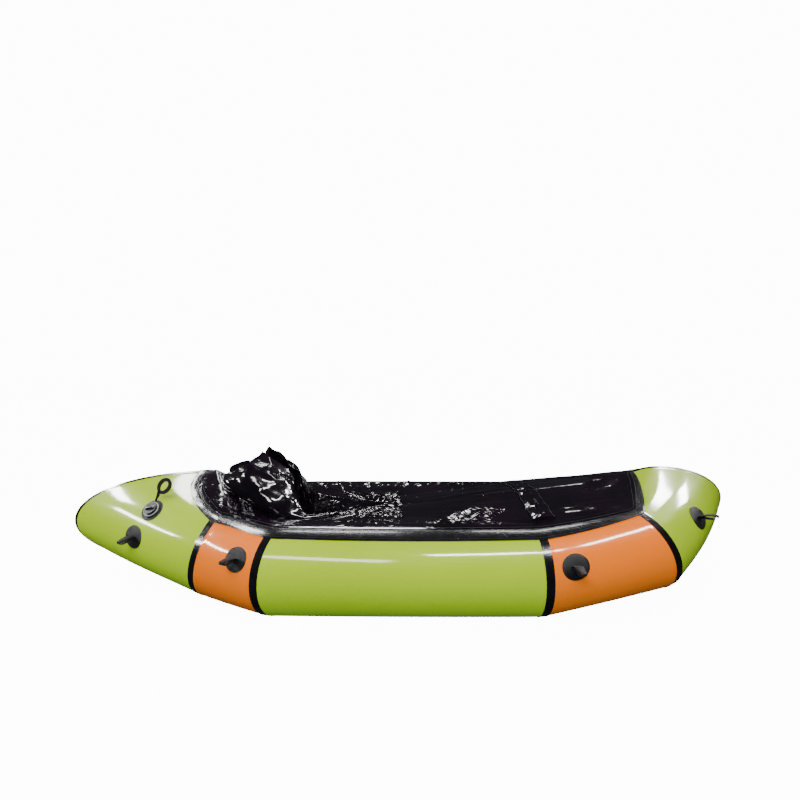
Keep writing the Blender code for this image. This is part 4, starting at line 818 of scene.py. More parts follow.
def skirt_heap():
    """The spray skirt let down: a low hem along the front of the hatch and a crumpled heap behind it."""
    outward = HATCH_HEADINGS
    flat = deck_grid(DECK_TOP)
    edge, near_edge = flat[:, -1], flat[:, -1 - OPEN_COLUMNS // 3]
    foot = edge + unit(near_edge - edge) * 0.004 + (0, 0, 4 * GAP)
    lift = wrinkles(foot[:, 0], foot[:, 1])
    centre = hatch_centre()
    heap = smooth((-0.280 - foot[:, 0]) / 0.055)[:, None]
    folds = np.cos(7 * DECK_TURNS)[:, None]
    back = np.clip((-0.335 - foot[:, :1]) / 0.220, 0, 1)
    rise = np.array((0, 0, 1))
    crown = np.interp(back, (0, 0.1, 0.3, 0.62, 0.74, 1), (0.425, 0.445, 0.468, 0.512, 0.458, 0.456))
    gathered = centre[1] + (foot[:, 1:2] - centre[1]) * 0.30
    hem = np.concatenate([-0.345 - 0.175 * back, gathered, crown], axis=1)
    hem = hem * heap + (foot + rise * 0.008 - outward * 0.010) * (1 - heap)
    flare = outward * np.clip(1 - outward[:, :1], 0, 1.5) * np.clip(back + 0.35, 0, 1)
    fallen = foot * (1, 1, 0) - outward * (0.055 + 0.030 * back) + rise * (0.190 - 0.020 * folds)
    climbs = (foot, foot + rise * 0.004 + heap * (flare * 0.030 + rise * 0.046),
              hem + rise * 0.004 + heap * (flare * 0.085 - rise * 0.020), hem)
    drops = (hem, hem - outward * 0.014 * (1 - heap) - rise * 0.010, fallen + rise * 0.060, fallen)
    rows = []
    for controls, count in ((climbs, 44), (drops, 30)):
        for share in np.linspace(0, 1, count)[int(controls is drops):]:
            near = 1 - share
            row = (controls[0] * near ** 3 + controls[1] * 3 * near ** 2 * share
                   + controls[2] * 3 * near * share ** 2 + controls[3] * share ** 3)
            rows.append(row + outward * (0.3 + 0.7 * heap) * folds * 0.012 * math.sin(math.pi * share) ** 1.3)
    rows = np.array(rows)
    normals = unit(np.cross(np.gradient(rows, axis=0), np.roll(rows, -1, axis=1) - np.roll(rows, 1, axis=1)))
    facing = np.sign((normals[0] * outward).sum(1).mean())
    around = run_lengths(edge)[None, :]
    up = np.concatenate([np.zeros((1, len(edge))),
                         np.cumsum(np.linalg.norm(np.diff(rows, axis=0), axis=2), axis=0)])
    full = smooth(up / 0.035) * (0.25 + 0.75 * heap[:, 0])
    around = around + 0 * up
    crinkle = (0.016 * crumple(around, up, 0.090, 11) + 0.006 * crumple(around, up, 0.042, 12)
               + 0.0016 * crumple(around, up, 0.018, 13))
    lip_crinkle = 0.0016 * crumple(around, up * 2, 0.020, 14) * smooth(up / 0.008) * (1 - heap[:, 0])
    rows = rows + normals * facing * (full * crinkle + lip_crinkle)[..., None]
    rows[..., 2] += lift
    inner = rows - normals * facing * 0.0010
    piece = cloth("spray_skirt_heap", rows, inner, SKIRT_FILM, "deck_film", round_columns=True,
                  replaced="spray_skirt", angle=24)


# Places of the fittings
VALVE_PLACE = (STERN, 0.53, 40.0)
VALVE_RING_RADIUS = 0.031
VALVE_FLANGE_RADIUS = 0.043
PATCH_PLACES = {
    "stern": (STERN, 0.56, 10.0),
    "aft": (AFT_QUARTER, 0.69, 24.0),
    "fore": (FORE_QUARTER, 0.20, 19.0),
    "bow": (BOW, 0.41, 22.0),
}
STERN_PORT_PATCH_PLACE = (STERN, 0.56, -8.0)
PULL_PLACE = (AFT_QUARTER, 0.864, 74.0)


def disc(name, place, side, hole, radius, slot):
    """A round patch laid on the tube."""
    turns = np.linspace(0, 2 * math.pi, 72, endpoint=False)
    layers = []
    for height in (PATCH_THICKNESS, 0):
        loops = []
        for reach in np.linspace(hole, radius, 9):
            edge = 1 - 0.35 * smooth((reach / radius - 0.93) / 0.07) if height else 1
            offset = PATCH_FOOT + height * edge
            loops.append(laid(place, reach * np.cos(turns), reach * np.sin(turns), offset, side))
        layers.append(loops)
    cloth(name + "_disc", *layers, RUBBER, slot, round_columns=True, replaced=name)


def webbing_loop(name, place, side):
    """A folded webbing loop standing on its patch, sewn down at its root."""
    length, width, webbing, eye, root = 0.054, 0.030, 0.0034, 0.0105, 0.012
    droop, narrowing, sag = math.radians(12.0), 0.42, 0.011
    seams, seam_half_width = (0.006, 0.010), 0.010
    upright = frame_at(place, side, PATCH_FOOT + PATCH_THICKNESS + GAP + webbing)
    normal = np.array(upright.col[2][:3])
    axis = unit(np.cross((0, 0, 1), normal))
    out = np.array(Matrix.Rotation(droop, 3, Vector(axis)) @ Vector(normal))
    shares = np.concatenate([np.linspace(0.22, 0.9, 14), np.linspace(0.92, 0.999, 8)])
    opening = eye / 2 * np.sin(math.pi * shares ** 1.6) ** 0.6
    start = length * shares[0]
    reach = root + (length * shares - start) * (length - webbing - root) / (length - start)
    outer = [(-webbing, 0), (-webbing * 0.5, webbing * 0.8), (0, webbing)]
    outer += zip(length * shares, opening + webbing)
    inner = [(root * 0.6, 0), (root * 0.7, opening[0] / 3), (root * 0.8, opening[0] / 2)]
    inner += zip(reach, opening)
    outer += [(length, 0)] + [(x, -z) for x, z in outer[:0:-1]]
    inner += [(length - webbing, 0)] + [(x, -z) for x, z in inner[:0:-1]]
    across = np.linspace(-width / 2, width / 2, 7)
    place = axes(upright.col[3][:3], out, np.cross(out, axis))
    sides = np.array((0.93, 0.985, 1, 1, 1, 0.985, 0.93))

    def hung(x, y, z):
        """The loop narrows and droops towards its free end."""
        free = smooth(x / length)
        return place @ Vector((x, y * (1 - narrowing * free), z - sag * free))

    layers = [[[hung(x, y, z * thin) for y, thin in zip(across, sides)] for x, z in outline]
              for outline in (outer, inner)]
    upper, lower = (np.array(layer) for layer in layers)
    piece = drawn_grid(name + "_webbing", upper, None, round_rows=True)
    inside = drawn_grid(name + "_inside", lower, None, round_rows=True)
    select_only(piece, inside)
    bpy.ops.object.join()
    close_edges(piece, bpy.ops.mesh.bridge_edge_loops, type="PAIRS")
    tidy_up(piece, WEBBING, name + "_body", 40)
    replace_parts(piece, name)
    for index, along in enumerate(seams):
        for face in (-1, 1):
            height = face * (webbing + STITCH_LIFT)
            line = [place @ Vector((along, y, height))
                    for y in np.linspace(-seam_half_width, seam_half_width, 5)]
            stitches(f"{name}_stitches_{index + 1}_{'under' if face < 0 else 'over'}", line,
                     [np.cross(out, axis) * face] * 5, body=name + "_body", spacing=0.0030, length=0.0022)


def main_valve():
    """Inflation valve: flange patch, ring with its threaded bore, gasket and screw plug."""
    place = frame_at(VALVE_PLACE, -1)
    ring, barrel, bore, wall = VALVE_RING_RADIUS, 0.0235, 0.0190, 0.0015
    top, seat, deep = 0.0055, -0.0035, -0.022
    pitch, notches, rim = 0.0042, 30, 0.0012
    disc("valve_flange", VALVE_PLACE, -1, ring + 0.0012, VALVE_FLANGE_RADIUS, "rubber")
    threads = []
    for turn in range(4):
        height = deep + wall + 0.004 + turn * pitch
        threads += [(bore, height), (bore - 0.0006, height + 0.0008), (bore - 0.0006, height + 0.0014),
                    (bore, height + 0.0022)]
    profile = [(0.012, deep + wall), (bore, deep + wall), *threads, (bore, top - 0.001), (bore + 0.001, top),
               (bore + 0.0045, top), (bore + 0.0050, top - 0.0008), (bore + 0.0062, top - 0.0008),
               (bore + 0.0067, top), (ring - wall, top), (ring, top - wall), (ring, seat), (barrel, seat),
               (barrel, deep), (0.012, deep), (0.012, deep + wall)]
    body = spun("valve_body_ring", profile, place, 96, 0)
    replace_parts(tidy_up(body, BLACK_PLASTIC, "hull", 35), "valve_body")
    # The thin pale ring round the top of the valve body is a painted highlight: a pale plastic torus stands
    # in for the bright glint along the body's edge.
    bpy.ops.object.select_all(action="DESELECT")
    bpy.ops.mesh.primitive_torus_add(major_radius=ring - 0.0022, minor_radius=rim, major_segments=96,
                                     minor_segments=12)
    edge = bpy.context.object
    edge.name = "valve_body_painted_highlight_ring"
    edge.matrix_world = place @ Matrix.Translation((0, 0, top + 0.0009))
    tidy_up(edge, PALE_PLASTIC, "hull", 60)
    low, high = top + 0.0022, top + 0.0067
    stem, head = 0.0180, 0.0225
    profile = [(0, top - 0.014), (stem - 0.001, top - 0.014), (stem, top - 0.013), (stem, low), (head, low),
               (head, high - 0.001), (head - 0.001, high), (head - 0.0035, high),
               (head - 0.0045, high - 0.0007), (0, high - 0.0007)]
    plug = spun("valve_plug_screw_cap", profile, Matrix.Identity(4), 120, 0)
    for vertex in plug.data.vertices:
        reach = math.hypot(vertex.co.x, vertex.co.y)
        if reach > head - 0.0015 and low + 0.0001 < vertex.co.z:
            notch = 1 - 0.035 * (0.5 + 0.5 * math.cos(notches * math.atan2(vertex.co.y, vertex.co.x))) ** 2
            vertex.co.x *= notch
            vertex.co.y *= notch
    bpy.ops.mesh.primitive_cube_add(size=1)
    grip = bpy.context.object
    grip.dimensions = (0.034, 0.007, 0.0085)
    grip.location = (0, 0, high + 0.0024)
    bpy.ops.object.transform_apply(location=True, rotation=True, scale=True)
    for vertex in grip.data.vertices:
        if vertex.co.z > high:
            vertex.co.x *= 0.88
            vertex.co.y *= 0.65
    apply(grip, "BEVEL", width=0.0011, segments=3)
    apply(plug, "BOOLEAN", operation="UNION", solver="EXACT", object=grip)
    bpy.data.objects.remove(grip, do_unlink=True)
    plug.matrix_world = place
    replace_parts(tidy_up(plug, BLACK_PLASTIC, "valve_plug_screw", 35), "valve_plug")
    refinish("valve_gasket", RUBBER)
    valve_leash()


def valve_leash():
    """Moulded pull ring that leans forward on its strap."""
    share, angle = walk(VALVE_PLACE, -0.014, 0.036)
    thickness, strap, long, wide, band = 0.0046, 0.038, 0.076, 0.047, 0.0125
    upright = frame_at((STERN, share[0], math.degrees(angle[0])), -1, PATCH_FOOT + PATCH_THICKNESS + 0.0025)
    axis = unit(np.cross((0, 0, 1), np.array(upright.col[2][:3])))
    forward = math.radians(-30.0)
    lean = Matrix.Rotation(forward, 3, Vector(np.cross(axis, (0, 0, 1))))
    up, across = np.array(lean @ Vector((0, 0, 1))), np.array(lean @ Vector(axis))
    place = axes(upright.col[3][:3], up, np.cross(up, across))
    mouth = 14.0
    turns = np.radians(np.linspace(180 - mouth, -180 + mouth, 72))
    middle, narrow, bend = strap + long / 2, 0.0025, math.radians(22.0)

    def bent(x, y):
        x -= strap
        return strap + x * math.cos(bend) - y * math.sin(bend), x * math.sin(bend) + y * math.cos(bend)

    outer = [(0, narrow), (strap * 0.5, narrow)]
    outer += [bent(middle + long / 2 * math.cos(turn), wide / 2 * math.sin(turn)) for turn in turns]
    outer += [(strap * 0.5, -narrow), (0, -narrow)]
    back = middle - long / 2 + band
    inner = [bent(back, narrow / 2), bent(back, narrow * 0.6)]
    inner += [bent(middle + (long / 2 - band) * math.cos(turn), (wide / 2 - band) * math.sin(turn))
              for turn in turns]
    inner += [bent(back, -narrow * 0.6), bent(back, -narrow / 2)]
    outer, inner = np.array(outer), np.array(inner)
    bands = [[(x, y, thickness / 2) for x, y in outer * (1 - part) + inner * part] for part in (0, 0.5, 1)]
    piece = drawn_grid("valve_leash_ring", bands, (0, 0, 1), round_columns=True)
    apply(piece, "SOLIDIFY", thickness=thickness, offset=-1)
    apply(piece, "BEVEL", width=0.0010, segments=3, limit_method="ANGLE", angle_limit=math.radians(50))
    piece.matrix_world = place
    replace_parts(tidy_up(piece, RUBBER, "leash", 40), "valve_leash")


def zip_place(share):
    aft, fore = np.array((0.15, 4.0)), np.array((0.655, 51.0))
    return (STERN, *(aft + (fore - aft) * (share, max(share, 0) ** 2.6)))


def zip_frame(share):
    place, following = zip_place(share), zip_place(share + SMALL_STEP)
    point, normal = skin(STERN, place[1], math.radians(place[2]))
    ahead = skin(STERN, following[1], math.radians(following[2]))[0] - point
    return point[0], unit(ahead[0] - normal[0] * np.dot(ahead[0], normal[0])), normal[0]


def zip_points(share, across, offset):
    point, ahead, normal = zip_frame(share)
    place = zip_place(share)
    along = surface(STERN, place[1] + SMALL_STEP, math.radians(place[2]))[0] - point
    along = unit(along - normal * np.dot(along, normal))
    aside = np.cross(normal, ahead)
    across = np.array(across)
    return laid(place, across * np.dot(aside, along), across * np.dot(aside, np.cross(along, normal)),
                np.array(offset), 1)


ZIP_FOOT = 0.0010
ZIP_TOP = 0.0018


def cargo_zip():
    """Cargo zip on the port stern: strip, sewn tape, chain, slider, pull and docking end."""
    fine = np.array([zip_frame(share)[0] for share in np.linspace(0, 1, 60)])
    length = np.linalg.norm(np.diff(fine, axis=0), axis=1).sum()
    strip_half_width, strip_rounding, seam_aside = 0.038, 0.018, 0.013
    dock_length, dock_rounding, dock_height = 0.016, 0.003, 0.0026
    across = np.linspace(-strip_half_width, strip_half_width, 17)
    layers = []
    for offset in (ZIP_TOP, ZIP_FOOT):
        rows = []
        for share in np.linspace(0, 1, 70):
            narrowed = 0.72 + 0.28 * rounded_end(min(share, 1 - share) * length / strip_rounding)
            rows.append(zip_points(share, across * narrowed, np.full(len(across), offset)))
        layers.append(rows)
    cloth("zip_strip_film", *layers, FILM, "deck_film", replaced="zip_strip")
    chain_end = 1 - 0.0352 / length
    foot = ZIP_TOP + GAP
    for index, side in enumerate((-1, 1)):
        line, under = [], []
        for share in np.linspace(0.06, chain_end, 60):
            line.append(zip_points(share, [side * seam_aside], [ZIP_TOP + STITCH_LIFT])[0])
            under.append(zip_points(share, [side * seam_aside], [0.0])[0])
        stitches(f"zip_tape_stitches_{index + 1}", line, np.array(line) - np.array(under), spacing=0.005)
    teeth, chain_start = 30, 0.50
    half = 0.36 * (chain_end - chain_start) / (2 * teeth)
    corners, faces = [], []
    for index in range(2 * teeth):
        side = 1 if index % 2 else -1
        share = chain_start + (chain_end - chain_start) * (index + 0.5) / (2 * teeth)
        first = len(corners)
        for height, inset in ((0.0, 0.0), (0.0019, 0.0), (0.0026, 0.0006)):
            for step, far in ((-half, 0.0040), (half, 0.0040), (half * 0.8, -0.0016), (-half * 0.8, -0.0016)):
                aside = side * (far - inset * (1 if far > 0 else -1))
                corners.append(zip_points(share + step * (1 - inset * 300), [aside], [foot + height])[0])
        for ring in (0, 4):
            for corner in range(4):
                after = (corner + 1) % 4
                faces.append((first + ring + corner, first + ring + after, first + ring + 4 + after,
                              first + ring + 4 + corner))
        faces += [(first, first + 1, first + 2, first + 3), (first + 8, first + 9, first + 10, first + 11)]
    chain = from_corners("zip_chain_teeth", [tuple(corner) for corner in corners], [], faces)
    edit(chain, (bpy.ops.mesh.normals_make_consistent, {"inside": False}))
    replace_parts(tidy_up(chain, BLACK_PLASTIC, "hull", 30), "zip_chain")
    dock = np.linspace(chain_end + 2 * GAP / length, chain_end + dock_length / length, 9)
    widths = np.array((-0.0050, -0.0045, -0.003, 0, 0.003, 0.0045, 0.0050))
    rounded = np.array((0.2, 0.8, 1.15, 1.45, 1.15, 0.8, 0.2))
    low, rows = [], []
    for share in dock:
        end = min(share - dock[0], dock[-1] - share) * length / dock_rounding
        crown = dock_height * (0.55 + 0.45 * rounded_end(end))
        rows.append(zip_points(share, widths, foot + crown * rounded))
        low.append(zip_points(share, widths, np.full(7, foot)))
    solid_between("zip_dock_end", rows, low, PALE_PLASTIC, "hull", "light_plastic", "zip_dock")
    zip_slider(chain_end, length)


def solid_between(name, upper, lower, material, body, slot, replaced, bevel=0.0):
    """A closed body between an upper and a lower grid of points."""
    upper, lower = np.array(upper, float), np.array(lower, float)
    piece = drawn_grid(name, upper, upper - lower)
    under = drawn_grid(name + "_under", lower, lower - upper)
    select_only(piece, under)
    bpy.ops.object.join()
    close_edges(piece, bpy.ops.mesh.bridge_edge_loops)
    if bevel:
        apply(piece, "BEVEL", width=bevel, segments=2, limit_method="ANGLE", angle_limit=math.radians(40))
    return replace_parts(tidy_up(piece, material, body, 35), replaced)


def zip_slider(chain_end, length):
    rest = chain_end - 0.0125 / length
    roof, foot = ZIP_TOP + 0.0034, ZIP_TOP + 0.0010
    channel, height, grip = 0.0045, 0.007, 0.00125
    across = np.array((-0.0065, -0.0060, -channel - GAP, -channel, 0, channel, channel + GAP, 0.0060, 0.0065))
    lower = np.array((foot, foot, foot, roof, roof, roof, foot, foot, foot))
    upper = ZIP_TOP + height * np.array((0.5, 0.75, 0.95, 0.98, 1, 0.98, 0.95, 0.75, 0.5))
    shares = rest + np.linspace(-0.5, 0.5, 9) * 0.024 / length
    layers = []
    for heights in (upper, lower):
        rows = []
        for index, share in enumerate(shares):
            waist = 1 - 0.22 * math.cos(math.pi * min(index, 8 - index) / 8) ** 2
            rows.append(zip_points(share, across * waist, heights))
        layers.append(rows)
    solid_between("zip_slider_body", *layers, BLACK_PLASTIC, "slider", "black_plastic", "zip_slider", 0.0003)
    point, ahead, normal = zip_frame(rest)
    hinge = point + normal * (ZIP_TOP + height + GAP + grip)
    place = axes(hinge, -ahead, normal)
    along = np.array((0, 0.06, 0.3, 0.58, 0.64, 0.70, 0.74, 0.96, 1)) * 0.036
    widths = np.array((0.42, 0.5, 0.48, 0.48, 0.6, 0.95, 1, 1, 0.92)) * 0.005
    asides = ((-1, 0.6), (-0.8, 1), (0, 1), (0.8, 1), (1, 0.6))
    layers = [[[place @ Vector((x, width * y, z * thin)) for y, thin in asides]
               for x, width in zip(along, widths)] for z in (grip, -grip)]
    solid_between("zip_pull_grip", *layers, BLACK_PLASTIC, "slider_pull", "black_plastic", "zip_pull", 0.0003)


def deck_pull_tab():
    """Webbing tab sewn at the port aft corner of the deck."""
    length, half_width, thickness = 0.064, 0.017, 0.002
    forward = np.linspace(0, -length, 18)
    up = np.linspace(-half_width, half_width, 11)
    top = DECK_TOP + GAP + thickness
    wave = 0.0006 * np.sin(np.linspace(0, 5, 18))
    layers = [[laid(PULL_PLACE, np.full(11, step), up, np.full(11, offset + max(lift, 0)), 1)
               for step, lift in zip(forward, wave)] for offset in (top, DECK_TOP + GAP)]
    cloth("deck_pull_tab_webbing", *layers, WEBBING, "webbing", "deck_pull_tab", replaced="deck_pull_tab",
          angle=40)
    seam = np.full(7, -0.006), np.linspace(-0.014, 0.014, 7)
    line = laid(PULL_PLACE, *seam, np.full(7, top + STITCH_LIFT), 1)
    under = laid(PULL_PLACE, *seam, np.zeros(7), 1)
    stitches("deck_pull_tab_stitches", line, line - under, body="deck_pull_tab", spacing=0.0035,
             length=0.0026)


# Sleeve across the fore deck
SLEEVE_X, SLEEVE_WIDTH, SLEEVE_SPAN, SLEEVE_HEIGHT = 0.500, 0.076, 0.600, 0.0085


def deck_sleeve():
    """Cloth tunnel across the fore deck, crinkled over the batten in it."""
    shape = bpy.data.objects["deck_skin_film"]
    half = SLEEVE_WIDTH / 2
    reach = np.linspace(-half, half, 23)
    rows, low = [], []
    for across in np.linspace(-SLEEVE_SPAN / 2, SLEEVE_SPAN / 2, 150):
        foot = []
        for step in reach:
            hit = shape.ray_cast(Vector((SLEEVE_X + step, across, 1)), Vector((0, 0, -1)))
            foot.append(hit[1].z)
        foot = np.array(foot)
        level = np.interp(reach, (-half, 0, half), (foot[0], foot[3:-3].max(), foot[-1]))
        under = np.maximum(foot, level * 0.5 + foot * 0.5) + 0.0006
        dome = SLEEVE_HEIGHT * np.sqrt(np.clip(1 - (np.abs(reach) / half) ** 3, 0, 1))
        y = np.full_like(reach, across)
        x = SLEEVE_X + reach + 0.003 * crumple(y, reach * 0 + 1, 0.03, 21)
        crinkle = 0.0026 * crumple(x, y * 0.8, 0.024, 22) + 0.0014 * crumple(x, y, 0.011, 23)
        body = smooth((1 - np.abs(reach) / half) / 0.15)
        top = np.maximum(under + 0.0008, np.maximum(level, foot) + 0.0014 + dome * 0.8 + crinkle * body)
        rows.append(np.stack([x, y, top], 1))
        low.append(np.stack([x, y, under], 1))
    solid_between("deck_sleeve_film", rows, low, FILM, "hull", "deck_film", "deck_sleeve")
    ends = np.array(rows)
    for index, column in enumerate((1, -2)):
        stitches(f"sleeve_stitches_{index + 1}", ends[:, column] + (0, 0, 0.0006),
                 np.tile((0, 0, 1.0), (len(ends), 1)))
    refinish("sleeve_batten", BLACK_PLASTIC)


# Floor and seat
FLOOR_EDGE_ANGLE, FLOOR_GLUE_END_ANGLE = -120.0, -110.0


def floor_height(x):
    rows = [section(row, FLOOR_EDGE_ANGLE, 0.0012)[0] for row in ring_rows((6,) * 5) if STERN < row[0] < BOW]
    return np.interp(x, [point[0] for point in rows], [point[2] for point in rows])


def floor_sheet():
    """One sheet glued under the ring, drawn between the tubes."""
    rows = both_sides(ring_rows([count // 2 for count in FINE_ROWS]))
    x = np.array([section(row, FLOOR_EDGE_ANGLE)[0][0] for row, side in rows])
    x = np.clip(x, x.min() + 0.120, x.max() - 0.120)
    layers = []
    for drop in (0, 0.0010):
        offset = TAPE_TOP + GAP + drop
        grid = []
        for (row, side), at in zip(rows, x):
            glued = section(row, np.linspace(FLOOR_EDGE_ANGLE, FLOOR_GLUE_END_ANGLE, 4), offset, side)
            spine = np.array((at, 0, floor_height(at) - drop))
            shares = np.linspace(0, 1, 20, endpoint=False)[:, None]
            grid.append(np.concatenate([spine * (1 - shares) + glued[0] * shares, glued]))
        layers.append(np.array(grid))
    ripple = 0.0007 * crumple(layers[0][..., 0], layers[0][..., 1], 0.07, 31)
    ripple[:, 0] = 0
    ripple[:, 18:] = 0
    for layer in layers:
        layer[..., 2] += np.abs(ripple)
    piece = cloth("floor_sheet_cloth", *layers, GREY, "grey_fabric", round_rows=True, replaced="floor_sheet")


def well_half_width(x):
    rows = [section(row, 180)[0] for row in ring_rows((8,) * 5) if row[0] in (STERN, AFT_QUARTER, SIDE)]
    return float(np.interp(x, [point[0] for point in rows], [point[1] for point in rows]))


SEAT_FRONT_X, SEAT_LENGTH, SEAT_HEIGHT = -0.235, 0.255, 0.075
SEAT_FOOT = 0.0018
BACKREST_X = SEAT_FRONT_X - 0.120
BACKREST_HALF_WIDTH, BACKREST_HALF_DEPTH, BACKREST_RISE = 0.1175, 0.025, 0.162


def squared(turn):
    """A sine or cosine filled out towards a rounded square."""
    return np.sign(turn) * np.abs(turn) ** 0.45


def seat_loop(x, degrees, offset=0.0):
    share = (SEAT_FRONT_X - x) / SEAT_LENGTH
    full = rounded_end(min(share, 1 - share) / 0.12)
    half_width = min(0.155, well_half_width(x) - 0.010) - 0.014 * (1 - full) + offset
    half_height = SEAT_HEIGHT / 2 * (0.35 + 0.65 * full)
    channel = 0.006 * math.cos(math.pi * 4 * share) ** 8 * full
    angles = np.radians(degrees)
    cos, sin = np.cos(angles), np.sin(angles)
    y = half_width * squared(cos)
    rise = np.where(sin > 0, half_height - channel, half_height) + offset
    z = floor_height(x) + SEAT_FOOT - 0.0012 + half_height + rise * squared(sin)
    return np.stack([np.full_like(y, x), y, z], 1)


def swell(piece, cap):
    """Lets a cushion fill under pressure, with no point moved further than the cap."""
    start = np.array([vertex.co for vertex in piece.data.vertices])
    modifier = piece.modifiers.new("swell", "CLOTH")
    modifier.settings.use_pressure = True
    modifier.settings.uniform_pressure_force = 4
    modifier.settings.effector_weights.gravity = 0
    modifier.settings.tension_stiffness = modifier.settings.compression_stiffness = 25
    scene = bpy.context.scene
    for moment in range(1, 19):
        scene.frame_set(moment)
    shaped = piece.evaluated_get(bpy.context.evaluated_depsgraph_get()).data
    end = np.array([vertex.co for vertex in shaped.vertices])
    piece.modifiers.remove(modifier)
    moved = end - start
    far = np.linalg.norm(moved, axis=1, keepdims=True)
    moved = moved * np.minimum(1, cap / np.maximum(far, 1e-9))
    moved[:, 2] = np.where(start[:, 2] < start[:, 2].min() + 0.008, np.maximum(moved[:, 2], 0), moved[:, 2])
    piece.data.vertices.foreach_set("co", (start + moved).ravel())
    piece.data.update()
    scene.frame_set(1)


def cushion(name, loops, body, cap, replaced):
    """An inflated cushion lofted through loops of points and closed at both ends."""
    loops = np.array(loops)
    piece = drawn_grid(name, loops, loops - loops.mean(1, keepdims=True), round_columns=True)
    close_edges(piece, bpy.ops.mesh.fill_holes, sides=0)
    swell(piece, cap)
    apply(piece, "SUBSURF", levels=1, render_levels=1)
    tidy_up(piece, GREY, body, 60)
    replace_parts(piece, replaced)


def seat():
    """Inflated seat cushion with cross channels, its backrest, strap and valve."""
    shares = np.linspace(0, 1, 60)
    degrees = np.arange(0, 360, 4.0)
    loops = [seat_loop(SEAT_FRONT_X - SEAT_LENGTH * share, degrees, -0.002) for share in shares]
    cushion("seat_cushion_pad", loops, "hull", 0.004, "seat_cushion")
    loops = []
    foot = floor_height(BACKREST_X) + SEAT_HEIGHT + 0.0013
    angles = np.linspace(0, 2 * math.pi, 72, endpoint=False)
    cos, sin = np.cos(angles), np.sin(angles)
    for share in np.linspace(0, 1, 44):
        full = rounded_end(min(share, 1 - share) / 0.2)
        width = BACKREST_HALF_WIDTH - 0.014 * (1 - full) - 0.002
        groove = 0.005 * math.cos(math.pi * 3 * share) ** 8 * full
        depth = BACKREST_HALF_DEPTH * (0.3 + 0.7 * full) - groove - 0.001
        xs = BACKREST_X - BACKREST_HALF_DEPTH + depth * squared(cos)
        ys = width * squared(sin)
        loops.append(np.stack([xs, ys, np.full_like(xs, foot + 0.001 + BACKREST_RISE * share)], 1))
    cushion("seat_backrest_pad", loops, "backrest", 0.003, "seat_backrest")
    degrees = np.linspace(150, 172, 12)
    layers = [[seat_loop(at, degrees, offset) for at in np.linspace(-0.285, -0.335, 16)]
              for offset in (0.0034, 0.0018)]
    cloth("seat_strap_webbing", *layers, WEBBING, "webbing", replaced="seat_strap", angle=40)
    refinish("seat_valve_stem", BLACK_PLASTIC)
    refinish("seat_valve_cap", PALE_PLASTIC)


# Studio

BACKDROP = (0.97, 0.98, 1, 1)
BACKDROP_STRENGTH = 14.0
FLOOR_STRENGTH = 13.0
WHITE = (1, 1, 1)
# name, place, target, size, power and colour; the strips are seen in glossy surfaces only
LAMPS = (
    ("key_softbox", (-0.9, -2.9, 2.6), (0, 0, 0.2), (1.6, 0.4), 52, (1, 0.98, 0.95)),
    ("side_strip", (0.9, -1.95, 3.0), (0.3, -0.4, 0.2), (1.3, 0.22), 80, WHITE),
    ("quarter_strip", (2.0, -1.0, 3.0), (0.7, -0.4, 0.2), (1.3, 0.18), 64, WHITE),
    ("stern_strip", (-3.3, 0.72, 2.13), (-1.0, 0, 0.3), (0.6, 0.22), 40, WHITE),
    ("stern_low_strip", (-3.5, -0.4, 1.7), (-0.9, -0.15, 0.3), (1.1, 0.16), 48, WHITE),
    ("stern_top_strip", (-2.05, 1.25, 2.74), (-0.75, -0.1, 0.38), (0.5, 0.25), 20, WHITE),
    ("bow_strip", (2.6, 1.9, 2.6), (0.9, -0.2, 0.35), (0.6, 0.3), 52, WHITE),
    ("bow_low_strip", (3.1, 1.45, 2.1), (1.0, -0.2, 0.35), (0.6, 0.25), 44, WHITE),
    ("back_strip", (-0.4, 2.6, 2.9), (-0.2, 0, 0.3), (1.4, 0.30), 24, WHITE),
    ("high_strip", (-0.5, 1.4, 3.0), (-0.3, 0, 0.3), (1.0, 0.22), 14, WHITE),
    ("fore_strip", (1.1, 1.9, 3.1), (0.6, 0, 0.3), (0.7, 0.25), 9, WHITE),
)


def studio_floor():
    bpy.ops.object.select_all(action="DESELECT")
    bpy.ops.mesh.primitive_circle_add(vertices=96, radius=60, fill_type="NGON", location=(0, 0, -0.0005))
    ground = bpy.context.object
    ground.name = "studio_floor"
    paper = finish("studio_paper", (0.86, 0.87, 0.88), 0.75, (1.5, 0.01), specular=0.2)
    shader = paper.node_tree.nodes["Principled BSDF"]
    shader.inputs["Emission Color"].default_value = BACKDROP
    shader.inputs["Emission Strength"].default_value = FLOOR_STRENGTH
    ground.data.materials.append(paper)
    ground.visible_glossy = ground.visible_diffuse = False


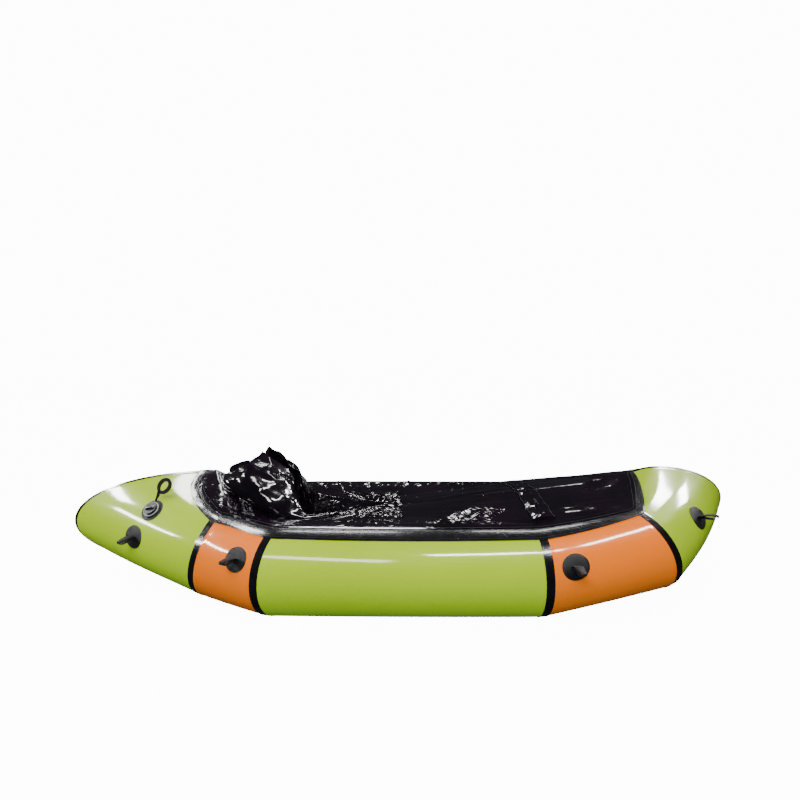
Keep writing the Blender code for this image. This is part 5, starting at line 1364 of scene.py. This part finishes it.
def studio_world():
    """A white backdrop for the camera, a soft sky for the light and a dark room for the gloss."""
    world = bpy.data.worlds.new("studio")
    bpy.context.scene.world = world
    world.use_nodes = True
    tree = world.node_tree
    tree.nodes.clear()
    out = tree.nodes.new("ShaderNodeOutputWorld")
    path = tree.nodes.new("ShaderNodeLightPath")
    backdrop = node(tree, "ShaderNodeBackground", Color=BACKDROP, Strength=BACKDROP_STRENGTH)
    fill = node(tree, "ShaderNodeBackground")
    dark = node(tree, "ShaderNodeBackground", Color=(0.022, 0.022, 0.026, 1))
    place = node(tree, "ShaderNodeTexCoord")
    split = node(tree, "ShaderNodeSeparateXYZ")
    sky = node(tree, "ShaderNodeValToRGB")
    low, high = sky.color_ramp.elements
    low.position, high.position = 0.0, 0.6
    low.color, high.color = (0.38, 0.58, 0.66, 1), (0.54, 0.54, 0.54, 1)
    tree.links.new(place.outputs["Generated"], split.inputs["Vector"])
    tree.links.new(split.outputs["Z"], sky.inputs["Fac"])
    tree.links.new(sky.outputs["Color"], fill.inputs["Color"])
    mirrored, seen = node(tree, "ShaderNodeMixShader"), node(tree, "ShaderNodeMixShader")
    tree.links.new(path.outputs["Is Glossy Ray"], mirrored.inputs["Fac"])
    tree.links.new(fill.outputs["Background"], mirrored.inputs[1])
    tree.links.new(dark.outputs["Background"], mirrored.inputs[2])
    tree.links.new(path.outputs["Is Camera Ray"], seen.inputs["Fac"])
    tree.links.new(mirrored.outputs["Shader"], seen.inputs[1])
    tree.links.new(backdrop.outputs["Background"], seen.inputs[2])
    tree.links.new(seen.outputs["Shader"], out.inputs["Surface"])


def studio_lamps():
    for name, place, target, size, power, colour in LAMPS:
        bpy.ops.object.light_add(type="AREA", location=place)
        lamp = bpy.context.object
        lamp.name = name
        lamp.data.shape = "RECTANGLE"
        lamp.data.size, lamp.data.size_y = size
        lamp.data.energy = power
        lamp.data.color = colour
        lamp.visible_diffuse = name == "key_softbox"
        away = Vector(target) - Vector(place)
        lamp.rotation_euler = away.to_track_quat("-Z", "Y").to_euler()
    bpy.ops.object.light_add(type="SUN", location=(0, 0, 5))
    sun = bpy.context.object
    sun.name = "soft_sun"
    sun.visible_glossy = False
    sun.data.energy = 2.3
    sun.data.angle = math.radians(50)
    sun.rotation_euler = (math.radians(35), math.radians(-12), 0)


def build():
    camera()
    for side in (1, -1):
        for panel in range(5):
            tube_skin(panel, side)
        for seam in range(1, 5):
            ring_tape(seam, side)
    centre_tape("tape_stern_centre", STERN, 96)
    centre_tape("tape_bow_centre", BOW + 1, 120)
    rim_band()
    deck_skin()
    skirt_heap()
    deck_sleeve()
    floor_sheet()
    seat()
    for side, side_name in ((1, "port"), (-1, "starboard")):
        for patch_name, place in PATCH_PLACES.items():
            if patch_name == "stern" and side > 0:
                place = STERN_PORT_PATCH_PLACE
            disc(f"patch_{patch_name}_{side_name}", place, side, PATCH_EYELET, PATCH_RADIUS, "grey_fabric")
            webbing_loop(f"loop_{patch_name}_{side_name}", place, side)
    main_valve()
    cargo_zip()
    deck_pull_tab()
    studio_floor()
    studio_world()
    studio_lamps()


build()
